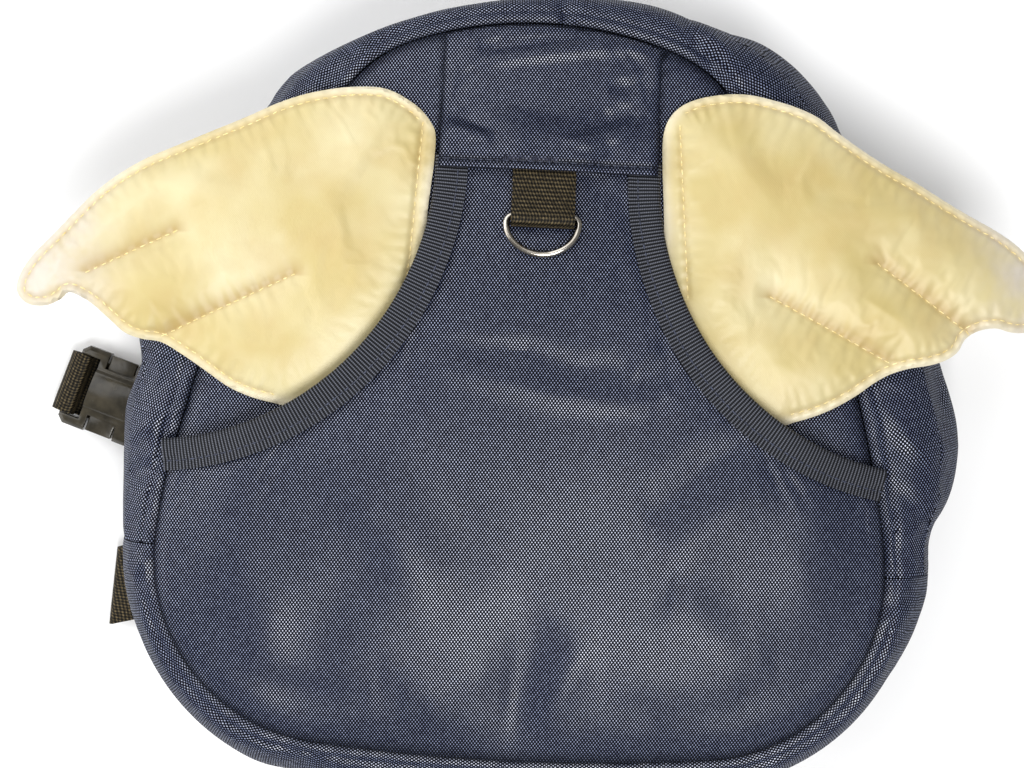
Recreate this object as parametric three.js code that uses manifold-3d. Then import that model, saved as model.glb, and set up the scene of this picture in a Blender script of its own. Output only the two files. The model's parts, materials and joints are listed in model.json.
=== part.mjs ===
// A mini backpack with padded wings, lying on its back with its front panel up.
// Millimetres: X to the right of the front panel, Y to the bag's top, Z up from the floor.

import * as THREE from 'three';
import { mergeVertices } from 'three/addons/utils/BufferGeometryUtils.js';
import Module from 'manifold-3d';

const wasm = await Module();
wasm.setup();

// Walls and gaps
const CLOTH = 1.2;
const GAP = 0.3;
const WEBBING = 1.2;

// Heights of the bag as it lies on its shoulder straps
const BACK_LOW = 12.5;
const BACK_THICK = 2;
const SEAM_HEIGHT = 66;
const FRONT_CROWN = 5;

// Outline of the front and back panels: arcs in line, clockwise from the top middle.
// A last arc closes the half outline at the bottom middle.
const OUTLINE_TOP = 109.6;
const OUTLINE_ARCS = [
  { part: 'top', radius: 115, turn: 20 },
  { part: 'shoulder', radius: 42, turn: 36 },
  { part: 'side', radius: 310, turn: 27 },
  { part: 'corner', radius: 56, turn: 91 },
];
const PANEL_MIDDLE = new THREE.Vector2(0, -10);

// Side wall: how far it bulges past the panels, by its share of the way from top to bottom
const GUSSET_BULGES = [
  { share: 0, left: 10.5, right: 10.5 },
  { share: 0.05, left: 8.8, right: 12.5 },
  { share: 0.11, left: 8.4, right: 15 },
  { share: 0.2, left: 18.5, right: 26 },
  { share: 0.4, left: 25, right: 30 },
  { share: 0.5, left: 19.5, right: 32 },
  { share: 0.55, left: 15.5, right: 25 },
  { share: 0.6, left: 12.5, right: 17 },
  { share: 0.68, left: 11.5, right: 12 },
  { share: 0.85, left: 14, right: 11 },
  { share: 0.93, left: 13, right: 11 },
  { share: 1, left: 11, right: 11 },
];
// Soft folds down the side wall: where they are and how far they pull it in
const GUSSET_FOLDS = [
  { side: 'left', share: 0.15, width: 0.018, depth: 3 },
  { side: 'left', share: 0.46, width: 0.02, depth: 4 },
  { side: 'right', share: 0.125, width: 0.012, depth: 4.5 },
  { side: 'right', share: 0.31, width: 0.02, depth: 3 },
  { side: 'right', share: 0.57, width: 0.014, depth: 3 },
  { side: 'left', share: 0.83, width: 0.02, depth: 2 },
  { side: 'right', share: 0.9, width: 0.03, depth: 2.5 },
];
// The zip opening runs over the top between these shares, at these shares across the wall
const CROSS_SEAM = 0.6;
const CROSS_SEAM_GAP = 0.0005;
const FLAP_EDGE = 0.235;
const FLAP_RISE = 1.3;
const ZIP_SPAN = { from: 0.2, to: 0.29 };
const ZIP_DEPTH = 2;
const BACK_STRIP_EDGE = 0.25;

// The yoke, the pocket mouths and the wings sit a little right of the bag's middle
const FRONT_SHIFT = 3;
const YOKE_HALF_WIDTH = 33;
const HEM_Y = 63.9;
const HEM_OVERLAP = 5;
const YOKE_SLOPE_LENGTH = 16;
// The yoke's hem rises over the ring tab, from this far beside it
const TAB_RISE = { near: 1, far: 8 };

// Front pocket: each mouth is one arc from the hem to the side seam
const MOUTH_RADIUS = 86;
const MOUTH_HALF_WIDTH = 33.6;
const POCKET_PUFF = 6;
const POCKET_HEM_SLOPE = 40;
const POCKET_RIM_SLOPE = 0.25;
const POCKET_CORNER_DROP = 6;
const MOUTH_END_SHARE = 0.985;
// The pocket's rim lies on the front panel, and higher up makes room for the tape's under ply
const SEWN_RIM = { lift: 0.4, y: -60 };
const BOUND_RIM = { lift: 1.9, y: -24 };
const POCKET_FOLDS = [
  { x: -4, y: 5, turn: -4, length: 30, width: 5, height: 2 },
  { x: 2, y: -6, turn: 4, length: 34, width: 8, height: -2.2 },
  { x: -62, y: -84, turn: 35, length: 18, width: 9, height: -2.4 },
  { x: 0, y: -92, turn: 85, length: 20, width: 11, height: -2.6 },
  { x: 42, y: -70, turn: 60, length: 24, width: 10, height: 1.6 },
  { x: -30, y: -60, turn: 110, length: 24, width: 10, height: 1.4 },
];

// Ribbed tape folded over the pocket's mouths
const BINDING = { thick: 1, top: 9.5, under: 6, set_in: 1.6, gap: 0.6, fold_in: 0.35, fold_ply: 0.55 };
const BINDING_RUN = { from: 0.01, to: 0.995 };

// Wing outlines, by distance out from the yoke's middle and height up the bag
const WING_OUTLINES = {
  left: [
    { out: 34.4, up: 74 },
    { out: 38.5, up: 80.5 },
    { out: 45, up: 85 },
    { out: 51, up: 87.2 },
    { out: 60, up: 87.2 },
    { out: 68, up: 86 },
    { out: 79, up: 82.9 },
    { out: 94.2, up: 75.8 },
    { out: 110.2, up: 68.7 },
    { out: 126.3, up: 61.1 },
    { out: 138.3, up: 52.1 },
    { out: 148.2, up: 41.5 },
    { out: 158, up: 31 },
    { out: 161.6, up: 22.5 },
    { out: 158.5, up: 17.8 },
    { out: 152, up: 17 },
    { out: 147.3, up: 18.7 },
    { out: 142.8, up: 21.4 },
    { out: 131.3, up: 13.9 },
    { out: 123.8, up: 8.8 },
    { out: 114.5, up: 7.4 },
    { out: 103, up: 1 },
    { out: 92.4, up: -5.5 },
    { out: 82, up: -8.8 },
    { out: 69, up: -9.4 },
    { out: 52, up: 3 },
    { out: 40, up: 20 },
    { out: 35.6, up: 38 },
    { out: 35.7, up: 48 },
    { out: 34.9, up: 60 },
  ],
  right: [
    { out: 34.2, up: 76 },
    { out: 37, up: 83.8 },
    { out: 44, up: 88.2 },
    { out: 53, up: 90.2 },
    { out: 60, up: 90.4 },
    { out: 68, up: 89 },
    { out: 79, up: 85.8 },
    { out: 88, up: 80 },
    { out: 100.7, up: 72.3 },
    { out: 112.6, up: 66.5 },
    { out: 126.4, up: 59.1 },
    { out: 137.5, up: 54 },
    { out: 146, up: 49 },
    { out: 152.2, up: 43 },
    { out: 155.4, up: 36 },
    { out: 155, up: 28.5 },
    { out: 151, up: 23.6 },
    { out: 145, up: 22.6 },
    { out: 138, up: 23.6 },
    { out: 130.7, up: 21 },
    { out: 127, up: 15.7 },
    { out: 121.5, up: 12.2 },
    { out: 112, up: 10 },
    { out: 104, up: 6.8 },
    { out: 97, up: 1.6 },
    { out: 88.5, up: -3.6 },
    { out: 79.5, up: -7.2 },
    { out: 69, up: -9.2 },
    { out: 52, up: 3 },
    { out: 40, up: 20 },
    { out: 35.6, up: 38 },
    { out: 35.7, up: 48 },
    { out: 34.8, up: 62 },
  ],
};
const WING_MIDDLE = { out: 88, up: 36 };
const WING = { edge: 1.8, middle: 6.5, fullness: 5, root: 2.2, lift: 0.4, droop: 0.0024, slope: 0.03 };
// Stitched feather lines of a wing, from the lower edge inwards
const FEATHERS = {
  left: [
    { from_out: 138.6, from_up: 27.8, to_out: 111.6, to_up: 41.1 },
    { from_out: 113.8, from_up: 9.7, to_out: 74.8, to_up: 29.6 },
  ],
  right: [
    { from_out: 130.2, from_up: 21.8, to_out: 101, to_up: 41 },
    { from_out: 105.2, from_up: 11.8, to_out: 68.8, to_up: 29.4 },
  ],
};
const FEATHER_DEPTH = 2;
const FEATHER_WIDTH = 5;

// Ring tab and ring
const RING_X = 2;
const TAB_WIDTH = 19;
const TAB_FOLD_Y = 49.6;
const TAB_FOLD_RADIUS = 2.4;
const RING = { wire: 1, half: 10.85, depth: 11.5, corner: 2.2, bar_y: 50, bow_clearance: 0.5 };

// Shoulder straps, by distance out from the middle and height up the bag
const STRAP_ROUTE = [
  { out: 36, up: 100, half: 17 },
  { out: 45, up: 45, half: 17 },
  { out: 51, up: -5, half: 16 },
  { out: 64, up: -42, half: 13.5 },
];
const STRAP = { top: 10.5, sewn_top: 12.2, sewn_from: 72, sewn_slope: 12, edge_low: 3, edge_high: 7.5 };

// Lower webbing: from the strap's end out to its fold, and back to the lower corner
const LOWER_WEBBING_WIDTH = 26;
const LOWER_START = { out: 66.5, up: -54.8 };
const LOWER_WEBBING = [
  { side: 'left', sign: -1, fold_out: 134.7, fold_up: -73.8, anchor: 40 },
  { side: 'right', sign: 1, fold_out: 110, fold_up: -70, anchor: 22 },
];
const LOWER_LEAN = 3.5;
const LOWER_LOOP = {
  start: 5.2,
  dip: 4,
  dip_at: 6,
  floor_at: 14,
  fold: 2.6,
  sewn: 12,
  sag: 1.5,
  sag_at: 0.45,
};

// Side release buckle, from its webbing end
const BUCKLE_END = { x: -154.5, y: -5.3, turn: -18.3 };
const BUCKLE = { width: 27.2, low: 2.1, high: 11.1, socket: 34, plug: 52, corner: 2, chamfer: 1.4 };
const PLUG_BODY = { low: 3.1, high: 10.1, chamfer: 1, slot_from: 7, slot_to: 11.5 };
const SOCKET_BAR = { from: 3.4, to: 6.2, low: 4.6, high: 7.8 };
const SOCKET_SLOT_END = 10.4;
const SOCKET_MOUTH = { length: 6, inset: 1.5 };
const PLUG_TONGUE = { low: 5, high: 8.2, half: 2, root: 1 };
const PRONG = { from: 13.4, to: 22.4, inside: 6.4, outside: 9.4, button: 13.2 };
const WINDOW = { margin: 0.6, inside: 8.2 };
const CHEST_WEBBING_WIDTH = 20;
const WEBBING_ROOM = 0.5;
const CUT_HIGH = 20;
// The long chest webbing's way past the left strap and over to the right one
const CHEST_TURN = 1.5;
const CHEST_FLOOR_END = 60;
const CHEST_ROUTE = [
  { x: -81, y: -25, below: 9 },
  { x: -72, y: -25.5, below: 1 },
  { x: -65, y: -25, below: 0 },
  { x: -20, y: -18, below: 0 },
  { x: 20, y: -12, below: 0 },
  { x: 59, y: -8, below: 0 },
];
// The short chest webbing is sewn to the left strap's edge between these distances
const CHEST_SEWN = { from: 66, to: 74 };
const CHEST_CORNER = 1;

// Webbing loop at the top of the back panel
const GRAB = { x: 8, width: 25, sewn_y: 99, sewn_length: 10, end_y: 130, radius: 4.5 };

// Finishes
const FINISHES = {
  navy: { color: 0x23283c, roughness: 0.7, metalness: 0 },
  binding: { color: 0x1b1f2d, roughness: 0.8, metalness: 0 },
  satin: { color: 0xe6d49a, roughness: 0.45, metalness: 0 },
  webbing: { color: 0x1c1a16, roughness: 0.85, metalness: 0 },
  nickel: { color: 0xc8c8c6, roughness: 0.2, metalness: 1 },
  plastic: { color: 0x0c0c0d, roughness: 0.3, metalness: 0 },
};

const { smoothstep, lerp, degToRad } = THREE.MathUtils;

// Solids from bent primitives

function signedVolume(geometry) {
  const corners = geometry.attributes.position;
  const index = geometry.index;
  const [a, b, c] = [0, 1, 2].map(() => new THREE.Vector3());
  let sum = 0;
  for (let i = 0; i < index.count; i += 3) {
    a.fromBufferAttribute(corners, index.getX(i));
    b.fromBufferAttribute(corners, index.getX(i + 1));
    c.fromBufferAttribute(corners, index.getX(i + 2));
    sum += a.dot(b.cross(c)) / 6;
  }
  return sum;
}

// Joins the corners that meet and turns the faces outwards
function closed(geometry) {
  geometry.deleteAttribute('normal');
  geometry.deleteAttribute('uv');
  const merged = mergeVertices(geometry);
  if (signedVolume(merged) < 0) {
    const turned = Array.from(merged.index.array);
    for (let i = 0; i < turned.length; i += 3) {
      [turned[i + 1], turned[i + 2]] = [turned[i + 2], turned[i + 1]];
    }
    merged.setIndex(turned);
  }
  merged.computeVertexNormals();
  return merged;
}

// A block cut into cells along and across, with each corner moved to place(along, across, up)
function bentBlock(along, across, place) {
  const block = new THREE.BoxGeometry(1, 1, 1, along, across, 1);
  const corners = block.attributes.position;
  for (let i = 0; i < corners.count; i += 1) {
    const point = place(corners.getX(i) + 0.5, corners.getY(i) + 0.5, corners.getZ(i) + 0.5);
    corners.setXYZ(i, point.x, point.y, point.z);
  }
  return closed(block);
}

// A round panel: a ball's rows give its top from the middle to the rim, and its underside back again
function roundPanel(around, rings, place) {
  const rows = 2 * rings + 1;
  const ball = new THREE.SphereGeometry(1, around, rows);
  const { position: corners, uv } = ball.attributes;
  for (let i = 0; i < corners.count; i += 1) {
    const row = Math.round((1 - uv.getY(i)) * rows);
    const up = row <= rings ? 1 : 0;
    const out = (up ? row : rows - row) / rings;
    const point = place((uv.getX(i) + 1) % 1, out, up);
    corners.setXYZ(i, point.x, point.y, point.z);
  }
  return closed(ball);
}

// A flat strap along a line of points, with its width along one fixed direction
function strapAlong(points, across, width, thick) {
  const side = across.clone().normalize();
  const last = points.length - 1;
  const place = (along, over, up) => {
    const i = Math.round(along * last);
    const before = points[Math.max(0, i - 1)];
    const after = points[Math.min(last, i + 1)];
    const normal = after.clone().sub(before).cross(side).normalize();
    return points[i].clone()
      .addScaledVector(side, (over - 0.5) * width)
      .addScaledVector(normal, (up - 0.5) * thick);
  };
  return bentBlock(last, 1, place);
}

function toSolid(geometry) {
  const shape = closed(geometry);
  return new wasm.Manifold(new wasm.Mesh({
    numProp: 3,
    vertProperties: new Float32Array(shape.attributes.position.array),
    triVerts: new Uint32Array(shape.index.array),
  }));
}

function fromSolid(solid) {
  const mesh = solid.getMesh();
  const geometry = new THREE.BufferGeometry();
  geometry.setAttribute('position', new THREE.BufferAttribute(mesh.vertProperties, 3));
  geometry.setIndex(new THREE.BufferAttribute(mesh.triVerts, 1));
  geometry.computeVertexNormals();
  return geometry;
}

// Panel outline

function walkOutline() {
  const walked = [];
  let [x, y, heading, from] = [0, OUTLINE_TOP, 0, 0];
  const step = (radius, turn) => {
    walked.push({ x, y, heading, radius, from });
    from += radius * turn;
    x += radius * (Math.sin(heading + turn) - Math.sin(heading));
    y += radius * (Math.cos(heading + turn) - Math.cos(heading));
    heading += turn;
  };
  OUTLINE_ARCS.forEach((arc) => step(arc.radius, degToRad(arc.turn)));
  step(x / Math.sin(Math.PI - heading), Math.PI - heading);
  return { walked, length: from };
}

const { walked: outlineArcs, length: halfOutline } = walkOutline();

// Rim point and outward direction at a turn from 0 to 1, clockwise from the top middle
function rim(turn) {
  const onRight = turn <= 0.5;
  const travelled = halfOutline * 2 * (onRight ? turn : 1 - turn);
  const arc = outlineArcs.findLast((row) => row.from <= travelled);
  const heading = arc.heading + (travelled - arc.from) / arc.radius;
  const sign = onRight ? 1 : -1;
  return {
    x: sign * (arc.x + arc.radius * (Math.sin(heading) - Math.sin(arc.heading))),
    y: arc.y + arc.radius * (Math.cos(heading) - Math.cos(arc.heading)),
    out_x: sign * Math.sin(heading),
    out_y: Math.cos(heading),
  };
}

const bearing = (x, y) => {
  const angle = Math.atan2(x - PANEL_MIDDLE.x, y - PANEL_MIDDLE.y);
  return angle < 0 ? angle + 2 * Math.PI : angle;
};

const RIM_STEPS = 720;
const rimReach = Array.from({ length: RIM_STEPS + 1 }, (_, i) => {
  const point = rim(i / RIM_STEPS);
  const full = i === RIM_STEPS ? 2 * Math.PI : bearing(point.x, point.y);
  return { angle: full, reach: PANEL_MIDDLE.distanceTo(point) };
});

// How far out a point lies, 0 at the panel's middle and 1 on its rim, and the rim's own reach there
function rimShare(x, y) {
  const angle = bearing(x, y);
  const after = Math.max(1, rimReach.findIndex((row) => row.angle >= angle));
  const [a, b] = [rimReach[after - 1], rimReach[after]];
  const between = (angle - a.angle) / Math.max(1e-9, b.angle - a.angle);
  const reach = lerp(a.reach, b.reach, between);
  return { share: Math.hypot(x - PANEL_MIDDLE.x, y - PANEL_MIDDLE.y) / reach, reach };
}

// Heights of the layers of the front

// Top of the front panel, and past its rim the line that the wings droop along
function frontTop(x, y) {
  const { share, reach } = rimShare(x, y);
  if (share <= 1) return SEAM_HEIGHT + FRONT_CROWN * (1 - share ** 2);
  const past = (share - 1) * reach;
  return SEAM_HEIGHT - WING.slope * past - WING.droop * past ** 2;
}

function pocketFolds(x, y) {
  return POCKET_FOLDS.reduce((sum, fold) => {
    const turn = degToRad(fold.turn);
    const along = (x - fold.x) * Math.cos(turn) + (y - fold.y) * Math.sin(turn);
    const over = (y - fold.y) * Math.cos(turn) - (x - fold.x) * Math.sin(turn);
    return sum + fold.height * Math.exp(-((along / fold.length) ** 2) - (over / fold.width) ** 2);
  }, 0);
}

// Underside of the pocket: sewn down at its rim and hem, puffed between
function pocketUnder(x, y) {
  const off_rim = smoothstep(1 - rimShare(x, y).share, 0, POCKET_RIM_SLOPE);
  const off_hem = smoothstep(HEM_Y - y, 0, POCKET_HEM_SLOPE);
  const rim_lift = lerp(SEWN_RIM.lift, BOUND_RIM.lift, smoothstep(y, SEWN_RIM.y, BOUND_RIM.y));
  return frontTop(x, y) + rim_lift + off_rim * off_hem * (POCKET_PUFF + pocketFolds(x, y));
}

const pocketTop = (x, y) => pocketUnder(x, y) + CLOTH;

function yokeUnder(x, y) {
  const beside_tab = Math.abs(x - RING_X) - TAB_WIDTH / 2;
  const over_tab = 1 - smoothstep(beside_tab, TAB_RISE.near, TAB_RISE.far);
  const binding_stack = BOUND_RIM.lift + CLOTH + BINDING.thick + BINDING.gap + GAP;
  const tab_stack = BOUND_RIM.lift + CLOTH + 2 * WEBBING + 3 * GAP;
  const hem_lift = lerp(binding_stack, tab_stack, over_tab) + GAP;
  const past_hem = smoothstep(y, HEM_Y + HEM_OVERLAP + 1, HEM_Y + HEM_OVERLAP + YOKE_SLOPE_LENGTH);
  return frontTop(x, y) + lerp(hem_lift, SEWN_RIM.lift, past_hem);
}

const at = (x, y, z) => new THREE.Vector3(x, y, z);

// Bag shell

function backPanel() {
  return roundPanel(48, 1, (turn, out, up) => {
    const edge = rim(turn);
    return at(edge.x * out, lerp(PANEL_MIDDLE.y, edge.y, out), BACK_LOW + up * BACK_THICK);
  });
}

function frontPanel() {
  return roundPanel(48, 4, (turn, out, up) => {
    const edge = rim(turn);
    const x = lerp(PANEL_MIDDLE.x, edge.x, out);
    const y = lerp(PANEL_MIDDLE.y, edge.y, out);
    return at(x, y, SEAM_HEIGHT + FRONT_CROWN * (1 - out ** 2) - (1 - up) * CLOTH);
  });
}

function bulgeAt(turn) {
  const side = turn <= 0.5 ? 'right' : 'left';
  const share = 2 * (side === 'right' ? turn : 1 - turn);
  const after = Math.max(1, GUSSET_BULGES.findIndex((row) => row.share >= share - 1e-9));
  const [a, b] = [GUSSET_BULGES[after - 1], GUSSET_BULGES[after]];
  const bulge = lerp(a[side], b[side], (share - a.share) / (b.share - a.share));
  return GUSSET_FOLDS.filter((fold) => fold.side === side).reduce(
    (sum, fold) => sum - fold.depth * Math.exp(-(((share - fold.share) / fold.width) ** 2)),
    bulge,
  );
}

// Side wall point: a half oval from the front seam (0 across) to the back seam (1 across)
function gussetPoint(turn, over, raise) {
  const edge = rim(turn);
  const bulge = bulgeAt(turn);
  const low = BACK_LOW + BACK_THICK / 2;
  const high = SEAM_HEIGHT - CLOTH / 2;
  const half = (high - low) / 2;
  const angle = Math.PI * over;
  const normal = new THREE.Vector2(half * Math.sin(angle), bulge * Math.cos(angle)).normalize();
  const out = GAP + bulge * Math.sin(angle) + raise * normal.x;
  const z = (high + low) / 2 + half * Math.cos(angle) + raise * normal.y;
  return at(edge.x + edge.out_x * out, edge.y + edge.out_y * out, z);
}

// A strip of side wall, over the top or round the bottom, raised by lift(across)
function gussetStrip({ from_turn, to_turn, along, edges, lift, thick }) {
  const across = edges.length - 1;
  return bentBlock(along, across, (u, v, w) => {
    const turn = lerp(from_turn, to_turn, u);
    const over = edges[Math.round(v * across)];
    return gussetPoint(((turn % 1) + 1) % 1, over, lift(over) + (w - 0.5) * thick);
  });
}

const evenly = (from, to, count) =>
  Array.from({ length: count + 1 }, (_, i) => lerp(from, to, i / count));

const OVER_TOP = { from_turn: -CROSS_SEAM / 2, to_turn: CROSS_SEAM / 2, along: 44 };
const flat = () => 0;

const gussetFront = () => gussetStrip({
  ...OVER_TOP,
  edges: evenly(0, FLAP_EDGE, 3),
  lift: (over) => FLAP_RISE * smoothstep(over, FLAP_EDGE / 3, FLAP_EDGE),
  thick: CLOTH,
});

const gussetBack = () => gussetStrip({
  ...OVER_TOP,
  edges: [BACK_STRIP_EDGE, ...evenly(ZIP_SPAN.to, 1, 5)],
  lift: flat,
  thick: CLOTH,
});

const zip = () => gussetStrip({
  ...OVER_TOP,
  edges: evenly(ZIP_SPAN.from, ZIP_SPAN.to, 1),
  lift: () => -ZIP_DEPTH,
  thick: CLOTH,
});

const gussetBase = () => gussetStrip({
  from_turn: CROSS_SEAM / 2 + CROSS_SEAM_GAP,
  to_turn: 1 - CROSS_SEAM / 2 - CROSS_SEAM_GAP,
  along: 32,
  edges: evenly(0, 1, 6),
  lift: flat,
  thick: CLOTH,
});

// Front pocket

const mouthMiddle = (sign) => FRONT_SHIFT + sign * (MOUTH_HALF_WIDTH + MOUTH_RADIUS);

// Point on a mouth, from under the hem (0) to the side seam (1), set in from the edge
function mouthPoint(sign, share, set_in) {
  const start = Math.asin(HEM_OVERLAP / MOUTH_RADIUS);
  const end = sign < 0 ? MOUTH_END.left : MOUTH_END.right;
  const angle = lerp(start, -end, share);
  const radius = MOUTH_RADIUS + set_in;
  return new THREE.Vector2(
    mouthMiddle(sign) - sign * radius * Math.cos(angle),
    HEM_Y + radius * Math.sin(angle),
  );
}

// How far down its arc each mouth goes before it meets the side seam
function mouthEnd(sign) {
  let angle = Math.PI / 4;
  const inside = () => rimShare(
    mouthMiddle(sign) - sign * MOUTH_RADIUS * Math.cos(angle),
    HEM_Y - MOUTH_RADIUS * Math.sin(angle),
  ).share < MOUTH_END_SHARE;
  while (inside()) angle += 0.002;
  return angle;
}

const MOUTH_END = { left: mouthEnd(-1), right: mouthEnd(1) };

const HEM_SHARE = { from: 0.4, to: 0.6 };
const POCKET_ROW_SPACING = 1.7;

// Upper edge of the pocket, left to right: left mouth, top under the hem, right mouth
function pocketUpper(across) {
  const [left, right] = [-1, 1].map((sign) => mouthPoint(sign, 0, BINDING.set_in));
  if (across < HEM_SHARE.from) return mouthPoint(-1, 1 - across / HEM_SHARE.from, BINDING.set_in);
  if (across > HEM_SHARE.to) {
    return mouthPoint(1, (across - HEM_SHARE.to) / (1 - HEM_SHARE.to), BINDING.set_in);
  }
  const between = (across - HEM_SHARE.from) / (HEM_SHARE.to - HEM_SHARE.from);
  return left.lerp(right, between);
}

// Turn of the rim at a height on one side, below the pocket's mouth
function rimTurnAt(y, sign) {
  let turn = 0.2;
  while (rim(turn).y > y) turn += 0.0005;
  return sign > 0 ? turn : 1 - turn;
}

function pocketPanel() {
  const start = rimTurnAt(pocketUpper(0).y - POCKET_CORNER_DROP, -1);
  const end = rimTurnAt(pocketUpper(1).y - POCKET_CORNER_DROP, 1);
  return bentBlock(36, 9, (across, up, over) => {
    const edge = rim(lerp(start, end, across));
    const upper = pocketUpper(across);
    const rise = 1 - (1 - up) ** POCKET_ROW_SPACING;
    const x = lerp(edge.x, upper.x, rise);
    const y = lerp(edge.y, upper.y, rise);
    return at(x, y, pocketUnder(x, y) + over * CLOTH);
  });
}

// Tape folded over a mouth's edge: top ply, round the edge, and back as the under ply
const BINDING_SECTION = [
  { set_in: BINDING.top, ply: 1 },
  { set_in: BINDING.top / 2, ply: 1 },
  { set_in: BINDING.set_in, ply: 1 },
  { set_in: BINDING.fold_in, ply: BINDING.fold_ply },
  { set_in: BINDING.fold_in, ply: -BINDING.fold_ply },
  { set_in: BINDING.set_in, ply: -1 },
  { set_in: BINDING.under, ply: -1 },
];

function bindingLine(sign, share, row) {
  const section = BINDING_SECTION[row];
  const point = mouthPoint(sign, share, section.set_in);
  const middle = pocketUnder(point.x, point.y) + CLOTH / 2;
  const ply_height = CLOTH / 2 + BINDING.gap + BINDING.thick / 2;
  return at(point.x, point.y, middle + section.ply * ply_height);
}

function pocketBinding(sign) {
  const last = BINDING_SECTION.length - 1;
  return bentBlock(18, last, (along, over, up) => {
    const row = Math.round(over * last);
    const share = lerp(BINDING_RUN.from, BINDING_RUN.to, along);
    const here = bindingLine(sign, share, row);
    const before = bindingLine(sign, share, Math.max(0, row - 1));
    const after = bindingLine(sign, share, Math.min(last, row + 1));
    const [back, on] = [-0.01, 0.01].map((step) => bindingLine(sign, share + step, row));
    const lengthwise = on.sub(back);
    const normal = after.sub(before).cross(lengthwise).normalize();
    return here.addScaledVector(normal, (up - 0.5) * BINDING.thick);
  });
}

// Yoke

function frontYoke() {
  const top_inset = 1;
  return bentBlock(12, 7, (across, up, over) => {
    const x = FRONT_SHIFT + (across * 2 - 1) * YOKE_HALF_WIDTH;
    const top = rim(rimTurnAtX(x)).y - top_inset;
    const y = lerp(HEM_Y, top, up);
    return at(x, y, yokeUnder(x, y) + over * CLOTH);
  });
}

// Turn of the rim over a place near the top
function rimTurnAtX(x) {
  let turn = 0;
  while (rim(turn).x < Math.abs(x)) turn += 0.0005;
  return x < 0 ? (1 - turn) % 1 : turn;
}

// Wings

function featherGroove(side, out, up) {
  return FEATHERS[side].reduce((deepest, line) => {
    const from = new THREE.Vector2(line.from_out, line.from_up);
    const run = new THREE.Vector2(line.to_out, line.to_up).sub(from);
    const place = new THREE.Vector2(out, up).sub(from);
    const along = THREE.MathUtils.clamp(place.dot(run) / run.lengthSq(), 0, 1);
    const away = place.sub(run.multiplyScalar(along)).length();
    return Math.max(deepest, FEATHER_DEPTH * Math.exp(-((away / FEATHER_WIDTH) ** 2)));
  }, 0);
}

function wing(side, sign) {
  const outline = new THREE.CatmullRomCurve3(
    WING_OUTLINES[side].map((row) => at(row.out, row.up, 0)),
    true,
    'centripetal',
  );
  return roundPanel(48, 5, (turn, share, up) => {
    const edge = outline.getPoint(turn);
    const out = lerp(WING_MIDDLE.out, edge.x, share);
    const height = lerp(WING_MIDDLE.up, edge.y, share);
    const x = FRONT_SHIFT + sign * out;
    const under = frontTop(x, height) + WING.lift;
    const padded = lerp(WING.middle, WING.edge, share ** WING.fullness) - featherGroove(side, out, height);
    const from_mouth = MOUTH_RADIUS - Math.hypot(x - mouthMiddle(sign), height - HEM_Y);
    const room = WING.root + Math.max(0, from_mouth - 1);
    const thick = Math.max(WING.edge, Math.min(padded, room));
    return at(x, height, under + up * thick);
  });
}

// Ring tab and ring

const tabFloor = (y) => pocketTop(RING_X, y) + GAP;

function ringTab() {
  const under_hem = HEM_Y + HEM_OVERLAP;
  const lower = WEBBING / 2;
  const upper = lower + WEBBING + GAP;
  const fold = lower + TAB_FOLD_RADIUS;
  const line = new THREE.Path();
  line.moveTo(under_hem, upper);
  line.lineTo(HEM_Y, upper);
  line.lineTo(TAB_FOLD_Y, fold + TAB_FOLD_RADIUS);
  line.absarc(TAB_FOLD_Y, fold, TAB_FOLD_RADIUS, Math.PI / 2, 1.5 * Math.PI, false);
  line.lineTo(under_hem, lower);
  const points = line.getSpacedPoints(24).map((p) => at(RING_X, p.x, tabFloor(p.x) + p.y));
  return strapAlong(points, at(1, 0, 0), TAB_WIDTH, WEBBING);
}

const ringBarHeight = tabFloor(RING.bar_y) + WEBBING / 2 + TAB_FOLD_RADIUS;

// The ring's wire follows a straight bar, two tight corners and a half oval bow
function dRing() {
  const bow = new THREE.Path();
  const inner = RING.half - RING.corner;
  bow.moveTo(-inner, 0);
  bow.lineTo(inner, 0);
  bow.absarc(inner, -RING.corner, RING.corner, Math.PI / 2, 0, true);
  bow.absellipse(0, -RING.corner, RING.half, RING.depth - RING.corner, 0, Math.PI, true, 0);
  bow.absarc(-inner, -RING.corner, RING.corner, Math.PI, Math.PI / 2, true);
  const line = new THREE.Curve();
  line.getPoint = (share) => {
    const p = bow.getPoint(share % 1);
    return at(p.x, p.y, 0);
  };
  const wire = new THREE.TubeGeometry(line, 30, RING.wire, 8, true);
  return closed(wire);
}

function ringTilt() {
  const bow_y = RING.bar_y - RING.depth;
  const bow_height = pocketTop(RING_X, bow_y) + RING.bow_clearance + RING.wire;
  return Math.atan2(ringBarHeight - bow_height, RING.depth);
}

// Harness under the bag

function shoulderStrap(sign) {
  const route = new THREE.CatmullRomCurve3(STRAP_ROUTE.map((row) => at(row.out, row.up, row.half)));
  return bentBlock(14, 4, (along, across, up) => {
    const here = route.getPoint(along);
    const run = route.getTangent(along);
    const over = across * 2 - 1;
    const side = new THREE.Vector2(-run.y, run.x).normalize();
    const on_edge = Math.round(Math.abs(over) * 2) === 2;
    const sewn = smoothstep(here.y, STRAP.sewn_from, STRAP.sewn_from + STRAP.sewn_slope);
    const top = lerp(STRAP.top, STRAP.sewn_top, sewn);
    const low = on_edge ? STRAP.edge_low : 0;
    const high = on_edge ? STRAP.edge_high : top;
    return at(
      sign * (here.x + side.x * over * here.z),
      here.y + side.y * over * here.z,
      up ? high : low,
    );
  });
}

// A line of points in an upright plane, from a place on the floor plan along a heading
function uprightLine(path, divisions, start, heading) {
  return path.getPoints(divisions).map(
    (p) => at(start.x + heading.x * p.x, start.y + heading.y * p.x, p.y),
  );
}

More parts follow.
